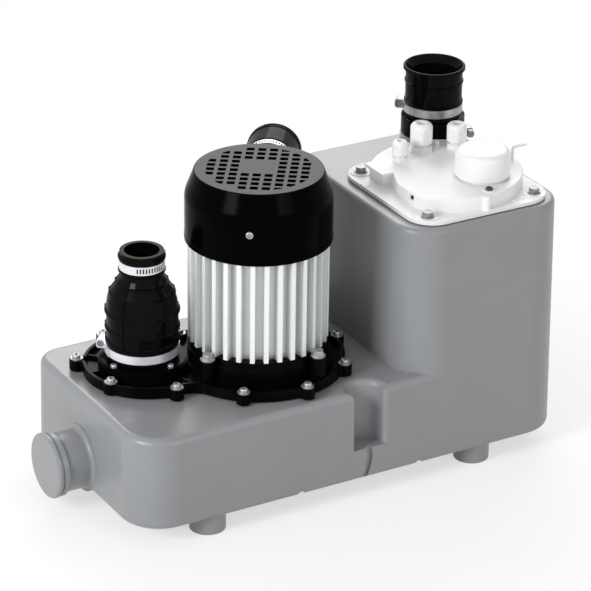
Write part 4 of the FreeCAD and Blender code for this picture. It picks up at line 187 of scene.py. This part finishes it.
def shade(colour, factor):
    """A colour made darker or lighter, and never lighter than white."""
    return tuple(min(1.0, channel * factor) for channel in colour)


# Materials


def moulded(name, colour, rough, grain, grain_scale, spread, specular, top_gloss=0.0):
    """Moulded plastic: fine grain, slow waves, faint mottling, and a top that may shine more."""
    surface = Surface(name, rough, specular=specular)
    if top_gloss > 0.0:
        surface.glossy_top(top_gloss, rough * 0.8)
    cloudy = surface.noise(14.0, detail=3.0)
    surface.colour(cloudy, shade(colour, 1 - spread), shade(colour, 1 + spread))
    scuffs = surface.noise(55.0, detail=6.0)
    surface.roughness(scuffs, rough * 0.88, rough * 1.14)
    waves = surface.noise(24.0, detail=1.0)
    surface.bump(waves, 0.0006, strength=0.25)
    surface.bump(surface.noise(grain_scale, detail=2.0), grain)
    return surface.material


def rubber(name, colour, rough):
    """Dense moulded rubber with a faint bloom under a thin shine."""
    surface = Surface(name, rough, specular=RUBBER_SPECULAR)
    surface.shader.inputs["Coat Weight"].default_value = RUBBER_COAT
    surface.shader.inputs["Coat Roughness"].default_value = RUBBER_COAT_ROUGHNESS
    bloom = surface.noise(40.0, detail=5.0)
    surface.colour(bloom, shade(colour, 0.8), shade(colour, 1.7))
    surface.roughness(bloom, rough * 0.85, rough * 1.2)
    surface.bump(surface.noise(900.0, detail=3.0), 0.00003)
    return surface.material


def metal(name, colour, rough, stretch=(1, 1, 1), grain_scale=500.0, grain=0.00003, spread=0.1,
          metallic=1.0):
    """Drawn, turned or plated metal whose fine lines run along the stretched axis."""
    surface = Surface(name, rough, metallic)
    lines = surface.noise(grain_scale, stretch)
    patches = surface.noise(60.0)
    surface.colour(patches, shade(colour, 1 - spread), shade(colour, 1 + spread))
    surface.roughness(lines, rough * 0.8, rough * 1.3)
    surface.bump(lines, grain)
    return surface.material


def screw_metal(name, colour, dark):
    """Plated screw steel that is blackened on the pieces beyond a place along X."""
    surface = Surface(name, 0.42, metallic=1.0)
    side = surface.span(surface.along(surface.place, "X"), BLACKENED_FROM - BLACKENED_BLUR,
                        BLACKENED_FROM + BLACKENED_BLUR)
    surface.colour(side, colour, dark)
    lines = surface.noise(900.0)
    surface.roughness(lines, 0.36, 0.52)
    surface.bump(lines, 0.00002)
    return surface.material


def finned(name, colour, axis):
    """Extruded aluminium with painted shade: darker grey down in the gaps between the fins, lighter
    at the fin tips.
    """
    surface = Surface(name, 0.4, metallic=0.45)
    flat = surface.nodes.new("ShaderNodeVectorMath")
    flat.operation = "MULTIPLY_ADD"
    flat.inputs[1].default_value = (1, 1, 0)
    flat.inputs[2].default_value = (-axis[0], -axis[1], 0)
    surface.links.new(surface.place, flat.inputs[0])
    reach = surface.nodes.new("ShaderNodeVectorMath")
    reach.operation = "LENGTH"
    surface.links.new(flat.outputs["Vector"], reach.inputs[0])
    # Painted shade: the colour darkens towards the motor's axis, down in the gaps between the fins,
    # and lightens towards the tips.
    painted_gap_shade = surface.span(reach.outputs["Value"], FIN_ROOT, FIN_TIP)
    surface.colour(painted_gap_shade, shade(colour, 0.76), shade(colour, 1.05))
    lines = surface.noise(500.0, (1, 1, 0.01), 3.0)
    surface.roughness(lines, 0.3, 0.5)
    surface.bump(lines, 0.00002)
    return surface.material


def board_material(name):
    """Coated circuit board with faint tracks."""
    surface = Surface(name, 0.35)
    tracks = surface.noise(260.0, (1, 0.15, 1), 1.0)
    surface.colour(tracks, shade(BOARD_GREEN, 0.7), shade(BOARD_GREEN, 1.6))
    surface.bump(tracks, 0.00005)
    return surface.material


def housing_axis():
    """The motor's upright axis, as the middle of its housing in the plan."""
    low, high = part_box("motor_housing")
    return ((low[0] + high[0]) / 2, (low[1] + high[1]) / 2)


def make_materials():
    """Every material by the name of its finish."""
    return {
        "tank_polymer": moulded("tank_polymer", TANK_GREY, 0.36, grain=0.00003, grain_scale=900.0,
                                spread=0.025, specular=0.45, top_gloss=0.3),
        "black_polymer": moulded("black_polymer", PLATE_BLACK, 0.3, grain=0.00003,
                                 grain_scale=1200.0, spread=0.2, specular=0.03, top_gloss=0.05),
        "cover_black": moulded("cover_black", COVER_BLACK, 0.16, grain=0.00002,
                               grain_scale=1500.0, spread=0.2, specular=0.015, top_gloss=0.2),
        "white_polymer": moulded("white_polymer", COVER_WHITE, 0.38, grain=0.00002,
                                 grain_scale=1100.0, spread=0.02, specular=0.5),
        "hose_rubber": rubber("hose_rubber", RUBBER_BLACK, 0.3),
        "seal_rubber": rubber("seal_rubber", SEAL_BLACK, 0.6),
        "aluminium": finned("aluminium", FIN_SILVER, housing_axis()),
        "steel": metal("steel", ZINC, 0.45, grain_scale=900.0, grain=0.00002),
        "dark_steel": metal("dark_steel", DARK_ZINC, 0.42, grain_scale=900.0, grain=0.00002,
                            spread=0.2),
        "band_steel": metal("band_steel", BAND_SILVER, 0.34, (1, 1, 8), grain_scale=120.0,
                            grain=0.000004, spread=0.03, metallic=0.6),
        "band_grey": metal("band_grey", BAND_GREY, 0.36, (1, 1, 0.02), grain_scale=140.0,
                           grain=0.00001, spread=0.3, metallic=0.8),
        "cross_head": screw_metal("cross_head", ZINC, BLACKENED),
        "lamination": metal("lamination", LAMINATION, 0.5, (0.05, 0.05, 3), grain_scale=600.0,
                            grain=0.00008),
        "copper": metal("copper", COPPER, 0.35, (1, 1, 0.2), grain=0.00015),
        "brass": metal("brass", BRASS, 0.3),
        "board": board_material("board"),
    }


def dress_nodes(materials):
    """Give every node the finish of its slot in the record, or its own finish."""
    for row in frame["record"]["subparts"]:
        mesh = NODES[row["node"]].data
        finish = OWN_FINISH.get(row["node"], row["material_slot"])
        mesh.materials.clear()
        mesh.materials.append(materials[finish])


# Camera, floor and light


def make_camera():
    """The photograph's camera, turned by its heading, tilt and roll."""
    heading = math.radians(CAMERA_HEADING)
    tilt = math.radians(CAMERA_TILT)
    roll = math.radians(CAMERA_ROLL)
    forward = Vector((math.sin(heading) * math.cos(tilt), math.cos(heading) * math.cos(tilt),
                      -math.sin(tilt)))
    right = Vector((math.cos(heading), -math.sin(heading), 0.0))
    up = right.cross(forward)
    rolled_right = math.cos(roll) * right + math.sin(roll) * up
    rolled_up = math.cos(roll) * up - math.sin(roll) * right
    turn = Matrix((rolled_right, rolled_up, -forward)).transposed()
    data = bpy.data.cameras.new("photo_camera")
    data.sensor_width = SENSOR_WIDTH
    data.lens = FOCAL_PIXELS / PHOTO_SIZE * SENSOR_WIDTH
    data.clip_end = CAMERA_REACH
    camera = bpy.data.objects.new("photo_camera", data)
    camera.matrix_world = Matrix.Translation(Vector(CAMERA_SPOT)) @ turn.to_4x4()
    bpy.context.collection.objects.link(camera)
    bpy.context.scene.camera = camera


def background_ray(nodes, links):
    """True for rays that see the background itself: from the camera, by gloss or through glass."""
    path = nodes.new("ShaderNodeLightPath")
    seen_or_glossy = nodes.new("ShaderNodeMath")
    seen_or_glossy.operation = "MAXIMUM"
    links.new(path.outputs["Is Camera Ray"], seen_or_glossy.inputs[0])
    links.new(path.outputs["Is Glossy Ray"], seen_or_glossy.inputs[1])
    any_of_them = nodes.new("ShaderNodeMath")
    any_of_them.operation = "MAXIMUM"
    links.new(seen_or_glossy.outputs[0], any_of_them.inputs[0])
    links.new(path.outputs["Is Transmission Ray"], any_of_them.inputs[1])
    return any_of_them.outputs[0]


def make_floor():
    """White ground: partly lit near the object, where it keeps the shadow, and white beyond."""
    bpy.ops.mesh.primitive_plane_add(size=FLOOR_SIZE, location=(0, 0, 0))
    floor = bpy.context.active_object
    floor.name = "floor"
    surface = Surface("floor", 0.7, specular=0.1)
    surface.colour(surface.noise(6.0), shade(FLOOR_WHITE, 0.99), FLOOR_WHITE)
    nodes, links = surface.nodes, surface.links
    length = nodes.new("ShaderNodeVectorMath")
    length.operation = "LENGTH"
    links.new(surface.place, length.inputs[0])
    fade = surface.span(length.outputs["Value"], FLOOR_NEAR, FLOOR_FAR, low=FLOOR_GLOW)
    fade.node.interpolation_type = "SMOOTHSTEP"
    share = nodes.new("ShaderNodeMath")
    share.operation = "MULTIPLY"
    links.new(background_ray(nodes, links), share.inputs[0])
    links.new(fade, share.inputs[1])
    white = nodes.new("ShaderNodeEmission")
    mix = nodes.new("ShaderNodeMixShader")
    links.new(share.outputs[0], mix.inputs["Fac"])
    links.new(surface.shader.outputs["BSDF"], mix.inputs[1])
    links.new(white.outputs["Emission"], mix.inputs[2])
    links.new(mix.outputs["Shader"], nodes["Material Output"].inputs["Surface"])
    floor.data.materials.append(surface.material)


def make_world():
    """Even studio light, with pure white where the background itself is seen."""
    world = bpy.data.worlds.new("studio")
    bpy.context.scene.world = world
    world.use_nodes = True
    nodes, links = world.node_tree.nodes, world.node_tree.links
    nodes.clear()
    light = nodes.new("ShaderNodeBackground")
    light.inputs["Color"].default_value = PURE_WHITE
    light.inputs["Strength"].default_value = WORLD_STRENGTH
    seen = nodes.new("ShaderNodeBackground")
    seen.inputs["Color"].default_value = PURE_WHITE
    seen.inputs["Strength"].default_value = 1.0
    mix = nodes.new("ShaderNodeMixShader")
    links.new(background_ray(nodes, links), mix.inputs["Fac"])
    links.new(light.outputs["Background"], mix.inputs[1])
    links.new(seen.outputs["Background"], mix.inputs[2])
    output = nodes.new("ShaderNodeOutputWorld")
    links.new(mix.outputs["Shader"], output.inputs["Surface"])


def make_lamps():
    """Soft boxes around the object, each turned to its middle."""
    for name, (spot, size, power) in LAMPS.items():
        data = bpy.data.lights.new(name, "AREA")
        data.shape = "RECTANGLE"
        data.size, data.size_y = size
        data.energy = power
        lamp = bpy.data.objects.new(name, data)
        way = Vector(LAMP_TARGET) - Vector(spot)
        lamp.location = spot
        lamp.rotation_euler = way.to_track_quat("-Z", "Y").to_euler()
        bpy.context.collection.objects.link(lamp)


def main():
    make_camera()
    dress_nodes(make_materials())
    make_floor()
    make_world()
    make_lamps()
    bpy.context.scene.view_settings.view_transform = "Standard"


main()
